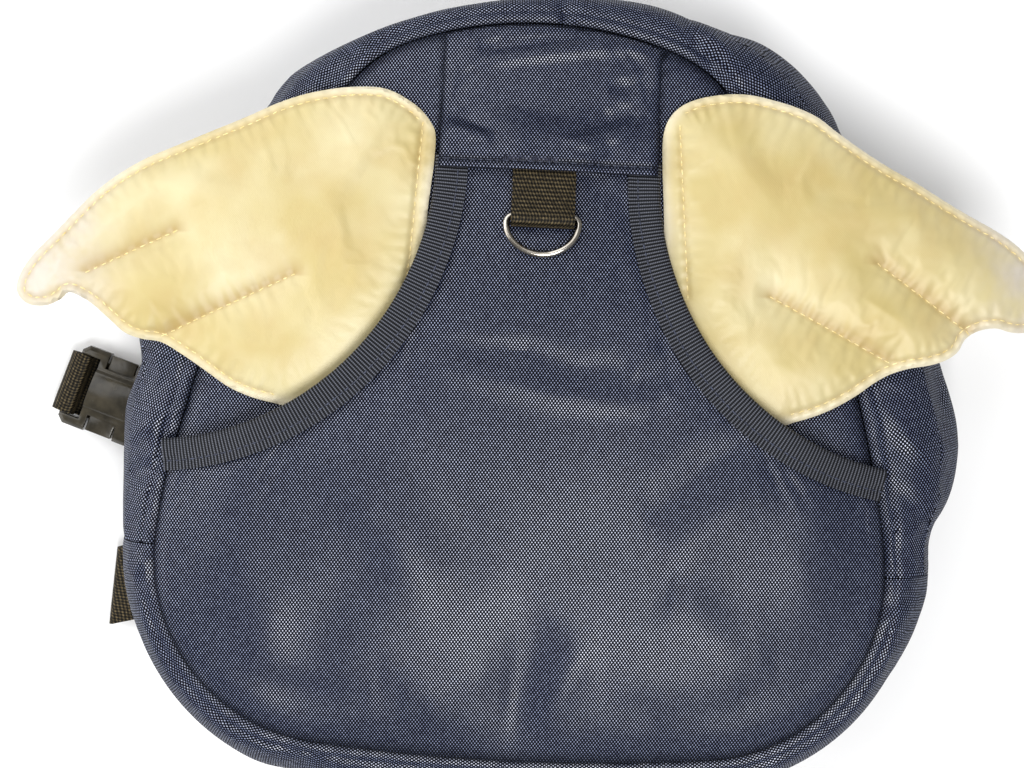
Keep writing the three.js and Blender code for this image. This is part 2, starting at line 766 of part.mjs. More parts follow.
function lowerWebbing({ sign, fold_out, fold_up, anchor }) {
  const start = new THREE.Vector2(sign * LOWER_START.out, LOWER_START.up);
  const run = new THREE.Vector2(sign * fold_out, fold_up).sub(start);
  const on_floor = GAP + WEBBING / 2;
  const sewn = BACK_LOW - GAP - WEBBING / 2;
  const { fold } = LOWER_LOOP;
  const reach = run.length() - fold - WEBBING / 2;
  const line = new THREE.Path();
  line.moveTo(0, LOWER_LOOP.start);
  line.lineTo(LOWER_LOOP.dip_at, LOWER_LOOP.dip);
  line.lineTo(LOWER_LOOP.floor_at, on_floor);
  line.lineTo(reach, on_floor);
  line.absarc(reach, on_floor + fold, fold, -Math.PI / 2, Math.PI / 2, false);
  line.lineTo(lerp(anchor, reach, LOWER_LOOP.sag_at), sewn - LOWER_LOOP.sag);
  line.lineTo(anchor, sewn);
  line.lineTo(anchor - LOWER_LOOP.sewn, sewn);
  const points = uprightLine(line, 4, start, run.normalize());
  const lean = degToRad(LOWER_LEAN);
  const across = at(sign * -Math.sin(lean), Math.cos(lean), 0);
  return strapAlong(points, across, LOWER_WEBBING_WIDTH, WEBBING);
}

function grabLoop() {
  const sewn = BACK_LOW - GAP - WEBBING / 2;
  const end = GRAB.end_y - GRAB.radius - WEBBING / 2;
  const line = new THREE.Path();
  line.moveTo(GRAB.sewn_y, sewn);
  line.lineTo(end, sewn);
  line.absarc(end, sewn - GRAB.radius, GRAB.radius, Math.PI / 2, -Math.PI / 2, true);
  line.lineTo(GRAB.sewn_y + GRAB.sewn_length, sewn - WEBBING - GAP);
  line.lineTo(GRAB.sewn_y, sewn - WEBBING - GAP);
  const points = line.getPoints(4).map((p) => at(GRAB.x, p.x, p.y));
  return strapAlong(points, at(1, 0, 0), GRAB.width, WEBBING);
}

// Buckle, built along X from its webbing end, with Y across and Z up

function block(from, to) {
  const size = to.clone().sub(from);
  const shape = new THREE.BoxGeometry(size.x, size.y, size.z);
  const middle = from.clone().add(to).multiplyScalar(0.5);
  return shape.translate(middle.x, middle.y, middle.z);
}

// A flat plate of an outline in X and Y, with its edges chamfered
function plate(outline, low, high, chamfer) {
  const shape = new THREE.Shape(outline);
  const plain = new THREE.ExtrudeGeometry(shape, {
    depth: high - low - 2 * chamfer,
    bevelThickness: chamfer,
    bevelSize: chamfer,
    bevelOffset: -chamfer,
    bevelSegments: 1,
  });
  return plain.translate(0, 0, low + chamfer);
}

const mirrored = (half) => [
  ...half,
  ...half.slice().reverse().map((p) => new THREE.Vector2(p.x, -p.y)),
];

const buckleHalf = BUCKLE.width / 2;
const webbingSlot = CHEST_WEBBING_WIDTH / 2 + WEBBING_ROOM;
const plugStart = BUCKLE.socket + GAP;

// The two ends of a stretch across the buckle on one side, low end first
const acrossOn = (side, from, to) => [side * from, side * to].sort((a, b) => a - b);

// The socket: a webbing bar and slot at its end, a mouth for the prongs, and a window on each side
function buckleSocket() {
  const outline = mirrored([
    new THREE.Vector2(SOCKET_BAR.from, buckleHalf - BUCKLE.corner),
    new THREE.Vector2(SOCKET_BAR.from + BUCKLE.corner, buckleHalf),
    new THREE.Vector2(BUCKLE.socket - SOCKET_MOUTH.length, buckleHalf),
    new THREE.Vector2(BUCKLE.socket, buckleHalf - SOCKET_MOUTH.inset),
  ]);
  let body = toSolid(plate(outline, BUCKLE.low, BUCKLE.high, BUCKLE.chamfer));
  const window_from = PRONG.from - WINDOW.margin;
  const cuts = [
    block(at(SOCKET_BAR.to, -webbingSlot, 0), at(SOCKET_SLOT_END, webbingSlot, CUT_HIGH)),
    block(at(0, -webbingSlot, SOCKET_BAR.high), at(SOCKET_SLOT_END, webbingSlot, CUT_HIGH)),
    block(at(0, -webbingSlot, 0), at(SOCKET_SLOT_END, webbingSlot, SOCKET_BAR.low)),
    block(
      at(window_from, -webbingSlot, PLUG_TONGUE.low - GAP),
      at(BUCKLE.plug, webbingSlot, PLUG_TONGUE.high + GAP),
    ),
  ];
  [-1, 1].forEach((side) => {
    const [low, high] = acrossOn(side, WINDOW.inside, BUCKLE.width);
    cuts.push(block(at(window_from, low, 0), at(PRONG.to + WINDOW.margin, high, CUT_HIGH)));
  });
  cuts.forEach((cut) => {
    body = body.subtract(toSolid(cut));
  });
  return fromSolid(body);
}

// The plug: a middle tongue and two prongs with buttons, and a webbing bar at its far end
function bucklePlug() {
  const outline = mirrored([
    new THREE.Vector2(plugStart, buckleHalf - SOCKET_MOUTH.inset),
    new THREE.Vector2(BUCKLE.plug - BUCKLE.corner, buckleHalf),
    new THREE.Vector2(BUCKLE.plug, buckleHalf - BUCKLE.corner),
  ]);
  let body = toSolid(plate(outline, PLUG_BODY.low, PLUG_BODY.high, PLUG_BODY.chamfer));
  const { low, high } = PLUG_TONGUE;
  const root = plugStart + PLUG_TONGUE.root;
  const tongues = [
    block(at(PRONG.from, -PLUG_TONGUE.half, low), at(root, PLUG_TONGUE.half, high)),
  ];
  [-1, 1].forEach((side) => {
    const arm = acrossOn(side, PRONG.inside, PRONG.outside);
    const button = acrossOn(side, PRONG.inside, PRONG.button);
    tongues.push(block(at(PRONG.from, arm[0], low), at(root, arm[1], high)));
    tongues.push(block(at(PRONG.from, button[0], low), at(PRONG.to, button[1], high)));
  });
  tongues.forEach((tongue) => {
    body = body.add(toSolid(tongue));
  });
  const slot = block(
    at(plugStart + PLUG_BODY.slot_from, -webbingSlot, 0),
    at(plugStart + PLUG_BODY.slot_to, webbingSlot, CUT_HIGH),
  );
  return fromSolid(body.subtract(toSolid(slot)));
}

const buckleHeading = new THREE.Vector2(1, 0).rotateAround(new THREE.Vector2(), degToRad(BUCKLE_END.turn));
const buckleAcross = at(-buckleHeading.y, buckleHeading.x, 0);

// Long webbing: round the socket's bar, back under the buckle, and over to the right strap
function chestWebbingLong() {
  const on_floor = GAP + WEBBING / 2;
  const over = SOCKET_BAR.high + 2 * GAP + WEBBING / 2;
  const turn_radius = (over - on_floor) / 2;
  const tail = SOCKET_BAR.to + GAP + WEBBING / 2;
  const line = new THREE.Path();
  line.moveTo(tail, SOCKET_BAR.low);
  line.lineTo(tail, over - CHEST_TURN);
  line.absarc(tail - CHEST_TURN, over - CHEST_TURN, CHEST_TURN, 0, Math.PI / 2, false);
  const end = turn_radius + WEBBING / 2;
  line.absarc(end, on_floor + turn_radius, turn_radius, Math.PI / 2, 1.5 * Math.PI, false);
  line.lineTo(CHEST_FLOOR_END, on_floor);
  const start = new THREE.Vector2(BUCKLE_END.x, BUCKLE_END.y);
  const points = uprightLine(line, 3, start, buckleHeading);
  const lifted = STRAP.top + GAP + WEBBING / 2;
  CHEST_ROUTE.forEach((row) => points.push(at(row.x, row.y, lifted - row.below)));
  return strapAlong(points, buckleAcross, CHEST_WEBBING_WIDTH, WEBBING);
}

// Short webbing: round the plug's bar and sewn to the edge of the left strap
function chestWebbingShort() {
  const bar_side = plugStart + PLUG_BODY.slot_to - GAP - WEBBING / 2;
  const middle = (PLUG_BODY.low + PLUG_BODY.high) / 2;
  const half = (PLUG_BODY.high - PLUG_BODY.low) / 2 + GAP + WEBBING / 2;
  const ply = WEBBING / 2 + GAP / 2;
  const line = new THREE.Path();
  line.moveTo(CHEST_SEWN.to, middle + ply);
  line.lineTo(CHEST_SEWN.from, middle + ply);
  line.lineTo(BUCKLE.plug, middle + half);
  line.lineTo(bar_side + CHEST_CORNER, middle + half);
  line.lineTo(bar_side, middle + half - CHEST_CORNER);
  line.lineTo(bar_side, middle - half + CHEST_CORNER);
  line.lineTo(bar_side + CHEST_CORNER, middle - half);
  line.lineTo(BUCKLE.plug, middle - half);
  line.lineTo(CHEST_SEWN.from, middle - ply);
  line.lineTo(CHEST_SEWN.to, middle - ply);
  const start = new THREE.Vector2(BUCKLE_END.x, BUCKLE_END.y);
  const points = uprightLine(line, 1, start, buckleHeading);
  return strapAlong(points, buckleAcross, CHEST_WEBBING_WIDTH, WEBBING);
}

// Assembly

const bag = new THREE.Group();

function add(name, finish, geometry, parent = bag) {
  const mesh = new THREE.Mesh(geometry, new THREE.MeshStandardMaterial(FINISHES[finish]));
  mesh.name = name;
  parent.add(mesh);
  return mesh;
}

add('back_panel', 'navy', backPanel());
add('gusset_base', 'navy', gussetBase());
add('gusset_front', 'navy', gussetFront());
add('gusset_back', 'navy', gussetBack());
add('zip', 'binding', zip());
add('front_panel', 'navy', frontPanel());
add('pocket_panel', 'navy', pocketPanel());
add('front_yoke', 'navy', frontYoke());
const SIDES = [
  { side: 'left', sign: -1 },
  { side: 'right', sign: 1 },
];
SIDES.forEach(({ side, sign }) => {
  add(`pocket_binding_${side}`, 'binding', pocketBinding(sign));
  add(`wing_${side}`, 'satin', wing(side, sign));
  add(`shoulder_strap_${side}`, 'navy', shoulderStrap(sign));
});
LOWER_WEBBING.forEach((row) => add(`lower_webbing_${row.side}`, 'webbing', lowerWebbing(row)));

add('ring_tab', 'webbing', ringTab());
const ring = add('d_ring', 'nickel', dRing());
ring.position.set(RING_X, RING.bar_y, ringBarHeight);
ring.rotation.x = ringTilt();

const buckle = new THREE.Group();
buckle.position.set(BUCKLE_END.x, BUCKLE_END.y, 0);
buckle.rotation.z = degToRad(BUCKLE_END.turn);
bag.add(buckle);
add('buckle_socket', 'plastic', buckleSocket(), buckle);
add('buckle_plug', 'plastic', bucklePlug(), buckle);
add('chest_webbing_long', 'webbing', chestWebbingLong());
add('chest_webbing_short', 'webbing', chestWebbingShort());
add('grab_loop', 'webbing', grabLoop());

// The shared frame has its origin on the floor, under the middle of the whole bag
const reach = new THREE.Box3().setFromObject(bag);
const middle = reach.getCenter(new THREE.Vector3());
bag.position.set(-middle.x, -middle.y, -reach.min.z);

const whole = new THREE.Group();
whole.add(bag);

export default whole;
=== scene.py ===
# %% [markdown]
# A mini backpack with wings, dressed over its CAD frame.
# The frame holds every piece of the bag at its true place and size, as plain solids.
# Here each solid gives way to what the piece really is: woven cloth, padded satin, webbing, wire
# or moulded plastic. The frame is loaded first, and its box is kept, because the dressed bag
# has to stay close to it.

import json
import math
from contextlib import contextmanager

import bpy
import numpy as np
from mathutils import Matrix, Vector
from mathutils.bvhtree import BVHTree
from mathutils.geometry import delaunay_2d_cdt
from mathutils.kdtree import KDTree


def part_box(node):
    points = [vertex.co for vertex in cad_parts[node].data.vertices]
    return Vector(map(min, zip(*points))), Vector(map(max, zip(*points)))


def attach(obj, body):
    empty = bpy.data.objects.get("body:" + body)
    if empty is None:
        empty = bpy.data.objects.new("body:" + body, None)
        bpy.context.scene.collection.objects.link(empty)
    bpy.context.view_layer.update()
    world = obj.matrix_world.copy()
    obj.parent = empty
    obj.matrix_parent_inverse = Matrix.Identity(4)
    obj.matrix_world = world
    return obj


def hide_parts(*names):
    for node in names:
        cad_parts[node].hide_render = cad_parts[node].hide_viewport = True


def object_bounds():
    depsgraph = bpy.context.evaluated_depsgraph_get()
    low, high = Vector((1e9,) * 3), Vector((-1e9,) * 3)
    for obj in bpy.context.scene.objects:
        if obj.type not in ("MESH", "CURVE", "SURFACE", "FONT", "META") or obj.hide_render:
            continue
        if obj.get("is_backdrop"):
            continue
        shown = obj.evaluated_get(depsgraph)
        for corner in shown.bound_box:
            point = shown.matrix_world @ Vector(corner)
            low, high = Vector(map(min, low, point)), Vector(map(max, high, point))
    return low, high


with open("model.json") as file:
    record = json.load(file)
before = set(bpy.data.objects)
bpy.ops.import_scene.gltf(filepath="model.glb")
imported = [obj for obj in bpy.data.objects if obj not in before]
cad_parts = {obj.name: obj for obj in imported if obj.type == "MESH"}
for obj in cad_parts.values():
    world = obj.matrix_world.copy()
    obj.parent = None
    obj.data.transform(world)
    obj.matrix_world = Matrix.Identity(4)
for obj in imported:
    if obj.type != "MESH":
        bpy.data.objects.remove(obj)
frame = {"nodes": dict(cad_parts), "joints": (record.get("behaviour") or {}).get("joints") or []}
cad_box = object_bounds()
MM = 0.001
print("frame", len(frame["nodes"]), "nodes", [round(v / MM, 1) for v in cad_box[1] - cad_box[0]], "mm")

# %% [markdown]
# Blender's operators act on whatever is selected, and a fresh import is selected all over.
# So one small helper leaves a single object selected, and another opens edit mode on it with
# all faces selected, or only the faces that the code asks for, as a modeller would pick them.

# %% Picking and editing
def pick(obj):
    bpy.ops.object.select_all(action="DESELECT")
    obj.select_set(True)
    bpy.context.view_layer.objects.active = obj


@contextmanager
def editing(obj, faces=None):
    pick(obj)
    bpy.ops.object.mode_set(mode="EDIT")
    bpy.ops.mesh.select_mode(type="FACE")
    bpy.ops.mesh.select_all(action="SELECT" if faces is None else "DESELECT")
    if faces is not None:
        bpy.ops.object.mode_set(mode="OBJECT")
        obj.data.polygons.foreach_set("select", faces)
        bpy.ops.object.mode_set(mode="EDIT")
    yield
    bpy.ops.object.mode_set(mode="OBJECT")


def apply(obj, kind, **settings):
    pick(obj)
    step = obj.modifiers.new(kind.lower(), kind)
    for key, value in settings.items():
        setattr(step, key, value)
    bpy.ops.object.modifier_apply(modifier=step.name)

# %% [markdown]
# Subdivision rounds a coarse solid into cloth, but it also draws it inwards, away from its seams.
# So the coarse cage is pulled out a few times by what it lost, until the fine surface passes
# through the corners that the solid had, and only then is the modifier applied.

# %% Finer cloth
PULLS = 6
PULL = 0.8
PULL_MOST = 1.4 * MM


def numbers(items, field, width=3):
    found = np.empty(len(items) * width)
    items.foreach_get(field, found)
    return found.reshape(-1, width) if width > 1 else found


def points_of(obj):
    return numbers(obj.data.vertices, "co")


def put_points(obj, points):
    obj.data.vertices.foreach_set("co", np.asarray(points).ravel())
    obj.data.update()


def evaluated(obj):
    return obj.evaluated_get(bpy.context.evaluated_depsgraph_get())


def finer(obj, levels):
    goal = points_of(obj)
    step = obj.modifiers.new("finer", "SUBSURF")
    step.levels = step.render_levels = levels
    step.boundary_smooth = "PRESERVE_CORNERS"
    pulled = np.zeros_like(goal)
    for _ in range(PULLS):
        pulled += PULL * (goal - points_of(evaluated(obj))[: len(goal)])
        far = np.linalg.norm(pulled, axis=1, keepdims=True)
        pulled *= PULL_MOST / np.maximum(far, PULL_MOST)
        put_points(obj, goal + pulled)
    pick(obj)
    bpy.ops.object.modifier_apply(modifier=step.name)

# %% [markdown]
# A soft piece starts from a copy of its CAD solid, so that it sits exactly where the solid sits.
# The copy arrives as loose triangles: its corners are merged and its triangles paired into quads,
# which subdivide more evenly. The solid itself is left alone.

# %% Copying a solid
MERGE = 0.01 * MM


def copy_of(node, name):
    mesh = frame["nodes"][node].data.copy()
    mesh.materials.clear()
    obj = bpy.data.objects.new(name, mesh)
    bpy.context.scene.collection.objects.link(obj)
    with editing(obj):
        bpy.ops.mesh.customdata_custom_splitnormals_clear()
        bpy.ops.mesh.remove_doubles(threshold=MERGE)
        bpy.ops.mesh.tris_convert_to_quads(face_threshold=math.pi, shape_threshold=math.pi)
    return obj


def keep_faces(obj, keep):
    with editing(obj, ~keep):
        bpy.ops.mesh.delete(type="FACE")
    return obj


def facing(obj, way):
    return numbers(obj.data.polygons, "normal") @ np.array(way)


UP = (0, 0, 1)
FACES_UP = 0.5


def upper_sheet(node, name):
    obj = copy_of(node, name)
    return keep_faces(obj, facing(obj, UP) > FACES_UP)


# %% [markdown]
# Cloth follows seams, so many steps ask how far a point is from a line and how far along it.
# A line is the open edge of a sheet, walked corner by corner, or a few points of our own.
# It is cut into short even steps, and a search tree then finds the nearest step to each point.
# Three soft curves turn a distance into a share: one rises, one is a bell, one falls to nothing.

# %% Lines and distances
LINE_STEP = 0.25 * MM


def open_edge(obj):
    mesh = obj.data
    ends = np.empty(len(mesh.edges) * 2, int)
    mesh.edges.foreach_get("vertices", ends)
    of_loops = np.empty(len(mesh.loops), int)
    mesh.loops.foreach_get("edge_index", of_loops)
    uses = np.bincount(of_loops, minlength=len(mesh.edges))
    near = {}
    for a, b in ends.reshape(-1, 2)[uses == 1]:
        near.setdefault(a, []).append(b)
        near.setdefault(b, []).append(a)
    walk = [min(near)]
    before = None
    while True:
        onward = next(v for v in near[walk[-1]] if v != before)
        if onward == walk[0]:
            return walk
        before = walk[-1]
        walk.append(onward)


def evenly(line, step=LINE_STEP, closed=False):
    line = np.asarray(line, float)
    if closed:
        line = np.vstack([line, line[:1]])
    run = np.concatenate([[0], np.cumsum(np.linalg.norm(np.diff(line, axis=0), axis=1))])
    at = np.linspace(0, run[-1], max(2, round(run[-1] / step) + 1))
    if closed:
        at = at[:-1]
    return np.column_stack([np.interp(at, run, column) for column in line.T])


def nearest(points, line):
    tree = KDTree(len(line))
    for i, place in enumerate(line):
        tree.insert((place[0], place[1], 0), i)
    tree.balance()
    found = [tree.find((p[0], p[1], 0)) for p in points]
    return np.array([f[2] for f in found]), np.array([f[1] for f in found])


def rise(value, low, high):
    share = np.clip((value - low) / (high - low), 0, 1)
    return share * share * (3 - 2 * share)


def bell(value, width):
    return np.exp(-((value / width) ** 2))


def falling(value, reach):
    return np.clip(1 - value / reach, 0, 1) ** 2


# %% [markdown]
# Every panel of the bag ends in the front seam or the back seam, which share one outline.
# It is read from the rim of the front panel's solid. Its outward directions are kept too,
# for the side wall that stands on it.

# %% The seam line
def outward(loop, reach=1):
    run = np.roll(loop, -reach, axis=0) - np.roll(loop, reach, axis=0)
    out = np.column_stack([run[:, 1], -run[:, 0]])
    x, y = loop.T
    winding = np.sign((x * np.roll(y, -1) - y * np.roll(x, -1)).sum())
    return out / np.linalg.norm(out, axis=1, keepdims=True) * winding


front = upper_sheet("front_panel", "front_panel_cloth")
finer(front, 3)
rim = points_of(front)[open_edge(front)][:, :2]
rim = np.roll(rim, -rim[:, 1].argmax(), axis=0)
rim = evenly(rim, closed=True)
rim_out = outward(rim)
RIM_LENGTH = len(rim) * LINE_STEP
print("seam line", round(RIM_LENGTH / MM), "mm round")

# %% [markdown]
# A seam pulls both cloths down into a groove. The same dip is given to every sheet that reaches
# the seam, by its distance from it, so the layers stay in order. The groove also looks darker, as
# little light gets in, so how near a point is to a seam is noted on the mesh for the finish to read.

# %% The seam's groove
SEAM_DIP = 2.2 * MM
SEAM_REACH = 4.5 * MM


def sink_seam(obj):
    points = points_of(obj)
    away, _ = nearest(points, rim)
    points[:, 2] -= SEAM_DIP * falling(away, SEAM_REACH)
    put_points(obj, points)


SEAM_DARK = 0.9 * MM


def note(obj, name, values):
    spot = obj.data.attributes.new(name, "FLOAT", "POINT")
    spot.data.foreach_set("value", np.asarray(values, float))


def darken_seams(obj, lines=()):
    points = points_of(obj)
    away, _ = nearest(points, rim)
    for line in lines:
        away = np.minimum(away, nearest(points, evenly(line))[0])
    note(obj, "seam", bell(away, SEAM_DARK))


# %% [markdown]
# Some folds of this bag are plain to see: the cloth was packed flat and kept its creases. Each is
# a line with a width and a height, all in millimetres, pressed along the cloth's own normals and
# faded at its ends. A height below zero is a trough.

# %% Pressing folds
def press(obj, folds):
    points = points_of(obj)
    out = numbers(obj.data.vertices, "normal")
    for line, wide, high in folds:
        path = evenly(np.array(line) * MM)
        away, step = nearest(points, path)
        fade = np.sqrt(np.sin(math.pi * step / (len(path) - 1)).clip(0))
        lift = high * MM * fade * bell(away, wide * MM)
        points += out * lift[:, None]
    put_points(obj, points)
    print(obj.name, "pressed with", len(folds), "folds")


# %% [markdown]
# Cloth that is cut a little large and held at its seams buckles into soft folds of its own.
# Blender's Cloth makes them: the sewn points are pinned, negative shrink gives the spare cloth and
# a little pressure fills it. Gravity is off, because the bag is stuffed. Movement is softened
# towards a cap, so a fold never reaches its neighbour, and the modifier is taken off once read.

# %% Settling cloth
SETTLE_FRAMES = 20


def settle(obj, sewn, slack, pressure, cap):
    scene = bpy.context.scene
    start = points_of(obj)
    group = obj.vertex_groups.new(name="sewn")
    group.add(np.flatnonzero(sewn).tolist(), 1, "REPLACE")
    cloth = obj.modifiers.new("settle", "CLOTH")
    cloth.settings.vertex_group_mass = group.name
    cloth.settings.use_pressure = True
    cloth.settings.uniform_pressure_force = pressure
    cloth.settings.effector_weights.gravity = 0
    cloth.settings.shrink_min = -slack
    cloth.settings.shrink_max = -slack
    cloth.collision_settings.use_collision = False
    cloth.point_cache.frame_end = SETTLE_FRAMES
    for step in range(1, SETTLE_FRAMES + 1):
        scene.frame_set(step)
    moved = points_of(evaluated(obj)) - start
    obj.modifiers.remove(cloth)
    obj.vertex_groups.remove(group)
    scene.frame_set(1)
    length = np.linalg.norm(moved, axis=1, keepdims=True)
    moved /= 1 + length / cap
    put_points(obj, start + moved)
    print(obj.name, "settled by up to", round(np.abs(moved).max() / MM, 2), "mm")


def on_edge(obj):
    held = np.zeros(len(obj.data.vertices), bool)
    held[open_edge(obj)] = True
    return held


# %% [markdown]
# A weave has to run along its cloth and not through it, so each sheet gets a UV map in metres:
# flat panels take their plan, turned to the way the strap runs where that matters, and the side
# wall takes its distance along the seam and over the roll.

# %% Weave maps
def lay_weave(obj, along, across):
    layer = obj.data.uv_layers.get("weave") or obj.data.uv_layers.new(name="weave")
    corner = np.empty(len(obj.data.loops), int)
    obj.data.loops.foreach_get("vertex_index", corner)
    layer.data.foreach_set("uv", np.column_stack([along, across])[corner].ravel())
    obj.data.uv_layers.active = layer


def lay_flat(obj, turn=0.0, steep=0.0):
    x, y, z = points_of(obj).T
    c, s = math.cos(math.radians(turn)), math.sin(math.radians(turn))
    lay_weave(obj, x * c + y * s, y * c - x * s + z * steep)


# %% [markdown]
# Shader maths reads best as plain sums. A Strand wraps one socket of a node tree: sums on it add
# Math nodes, and one method adds any other node from its type, its settings and its sockets.
# A Strand without a socket starts each finish, and constants go straight onto the shader. Colours
# are given as a screen shows them, from 0 to 255, and made linear.

# %% Shader maths
class Strand:
    def __init__(self, tree, socket=None):
        self.tree = tree
        self.socket = socket

    def node(self, kind, settings=None, sockets=None, out=0):
        made = self.tree.nodes.new(kind)
        for key, value in (settings or {}).items():
            setattr(made, key, value)
        for key, value in (sockets or {}).items():
            if isinstance(value, Strand):
                self.tree.links.new(value.socket, made.inputs[key])
            else:
                made.inputs[key].default_value = value
        return Strand(self.tree, made.outputs[out])

    def math(self, operation, a, b=0.0):
        return self.node("ShaderNodeMath", {"operation": operation}, {0: a, 1: b})

    def __add__(self, other):
        return self.math("ADD", self, other)

    __radd__ = __add__

    def __sub__(self, other):
        return self.math("SUBTRACT", self, other)

    def __rsub__(self, other):
        return self.math("SUBTRACT", other, self)

    def __mul__(self, other):
        return self.math("MULTIPLY", self, other)

    __rmul__ = __mul__

    def __pow__(self, other):
        return self.math("POWER", self, other)

    def sine(self):
        return self.math("SINE", self)

    def wave(self, pitch):
        return (self * (2 * math.pi / pitch)).sine()

    def between(self, low, high):
        return self.node("ShaderNodeMapRange", {"clamp": True}, {0: self, 1: low, 2: high})

    def mix(self, low, high):
        return self.node("ShaderNodeMix", {"data_type": "RGBA"}, {0: self, 6: low, 7: high}, out=2)

    def noise(self, scale, detail, stretch=(1, 1, 1)):
        where = self.node("ShaderNodeTexCoord", out="Object")
        where = self.node("ShaderNodeMapping", None, {0: where, 3: stretch})
        sockets = {"Vector": where, "Scale": scale, "Detail": detail}
        return self.node("ShaderNodeTexNoise", None, sockets)

    def weave_map(self):
        split = self.node("ShaderNodeUVMap", {"uv_map": "weave"})
        split = self.node("ShaderNodeSeparateXYZ", None, {0: split})
        outs = split.socket.node.outputs
        return Strand(self.tree, outs[0]), Strand(self.tree, outs[1])

    def noted(self, name):
        return self.node("ShaderNodeAttribute", {"attribute_name": name}, out="Fac")

    def bump(self, height, depth, strength):
        sockets = {"Height": height, "Distance": depth, "Strength": strength}
        return self.node("ShaderNodeBump", None, sockets)


def new_finish(name, gloss=0.5, **constants):
    material = bpy.data.materials.new(name)
    material.use_nodes = True
    shader = material.node_tree.nodes["Principled BSDF"]
    shader.inputs["Specular IOR Level"].default_value = gloss
    for key, value in constants.items():
        shader.inputs[key.replace("_", " ").title().replace("Ior", "IOR")].default_value = value
    return material, shader, Strand(material.node_tree)


def feed(shader, **strands):
    for key, strand in strands.items():
        strand.tree.links.new(strand.socket, shader.inputs[key.replace("_", " ").title()])


def srgb(red, green, blue):
    def straight(part):
        part /= 255
        return part / 12.92 if part <= 0.04045 else ((part + 0.055) / 1.055) ** 2.4

    return straight(red), straight(green), straight(blue), 1.0


# %% [markdown]
# The bag's cloth is a plain weave of shiny navy yarn, coarse enough to see: a checker of small
# crowns where one yarn passes over the other. Two sines multiplied give that checker, which bumps
# the surface, paints the crowns lighter than the navy as painted sheen and the gaps near black as
# painted shade. A coat on the crowns alone makes a fold flash where it turns to the light. Slow noise
# dulls some places a little, and the seams are darkened.

# %% Navy cloth
YARN_ALONG = 0.49 * MM
YARN_ACROSS = 0.67 * MM
NAVY, shader, s = new_finish("navy_cloth", gloss=0.1, coat_roughness=0.44, coat_ior=3.1)
along, across = s.weave_map()
crowns = along.wave(2 * YARN_ALONG) * across.wave(2 * YARN_ACROSS) * 0.5 + 0.5
worn = s.noise(18, 3)
slub = s.noise(700, 1)
# painted shade: the gaps between the crowns are painted near black
ground = worn.between(0.35, 0.65).mix(srgb(3, 4, 11), srgb(7, 9, 20))
# painted sheen: the crowns are painted far lighter and bluer than the navy yarn
yarn_and_sheen = slub.between(0.2, 0.8).mix(srgb(60, 73, 122), srgb(158, 172, 212))
crest = crowns.between(0.64, 0.97)
seam = s.noted("seam")
feed(
    shader,
    base_color=(seam * 0.8).mix(crest.mix(ground, yarn_and_sheen), srgb(4, 5, 10)),
    roughness=0.72 - crest * 0.3,
    coat_weight=crest * (1 - seam) * (worn.between(0.3, 0.7) * 0.3 + 0.7),
    normal=s.bump(crowns, 0.06 * MM, 0.6),
)
print("finish", NAVY.name)

# %% [markdown]
# Its plan and area, as a sheet cut flat, are read before a piece is dressed. Of a solid one face
# counts. A panel of navy cloth gets its thickness here too, inwards, after its seams have been noted.

# %% Putting a piece in place
SMOOTH = math.radians(40)


def hand_in(obj, node, finish, body="bag"):
    obj.data.materials.clear()
    obj.data.materials.append(finish)
    pick(obj)
    bpy.ops.object.shade_smooth_by_angle(angle=SMOOTH)
    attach(obj, body)
    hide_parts(node)
    low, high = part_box(node)
    points = points_of(obj)
    past = max((np.array(low) - points.min(axis=0)).max(), (points.max(axis=0) - np.array(high)).max())
    print(obj.name, len(obj.data.polygons), "faces, past its solid by", round(past / MM, 2), "mm")


def area_of(obj):
    return float(numbers(obj.data.polygons, "area", 1).sum())


def plan_of(obj, faces=1):
    width, length, _ = np.ptp(points_of(obj), axis=0)
    return {"flat": (width, length), "area": area_of(obj) / faces}


CLOTH = 1.2 * MM


def dress_panel(obj, node, seams=(), **sheet):
    darken_seams(obj, seams)
    apply(obj, "SOLIDIFY", thickness=CLOTH, offset=-1)
    hand_in(obj, node, NAVY)


# %% [markdown]
# The front panel is the wall behind the pocket. It shows beside the yoke and under the wings.
# It is a smooth crowned sheet, so the fine copy used for the seam line is dressed as it is. The two
# seams of the yoke cross it, and they are darkened with the rest.

# %% Front panel
sink_seam(front)
lay_flat(front)
front_plan = plan_of(front)
settle(front, on_edge(front), slack=0.002, pressure=1, cap=0.3 * MM)
yoke_low, yoke_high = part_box("front_yoke")
yoke_middle = (yoke_low.x + yoke_high.x) / 2
hem_y = yoke_low.y
yoke_sides = [((x, hem_y), (x, yoke_high.y)) for x in (yoke_low.x, yoke_high.x)]
dress_panel(front, "front_panel", yoke_sides, **front_plan)

# %% [markdown]
# The pocket is the big lower sheet, sewn round the bag's rim and held by the hem and the tapes.
# It is full of air and folds, so it is settled as cloth, pinned where it is sewn or bound. The wide
# folds are pressed before that. The sharp crease under the ring has an edge on either side of a
# sunken strip, which needs the finest faces, so it comes last.

# %% Front pocket
TAPE_HOLD = 10.5 * MM
MOUTH_RADIUS = 86 * MM
MOUTH_OUT = 119.6 * MM


def mouth_middle(sign):
    return np.array((yoke_middle + sign * MOUTH_OUT, hem_y))


def from_mouth(points, sign):
    return MOUTH_RADIUS - np.hypot(*(points[:, :2] - mouth_middle(sign)).T)


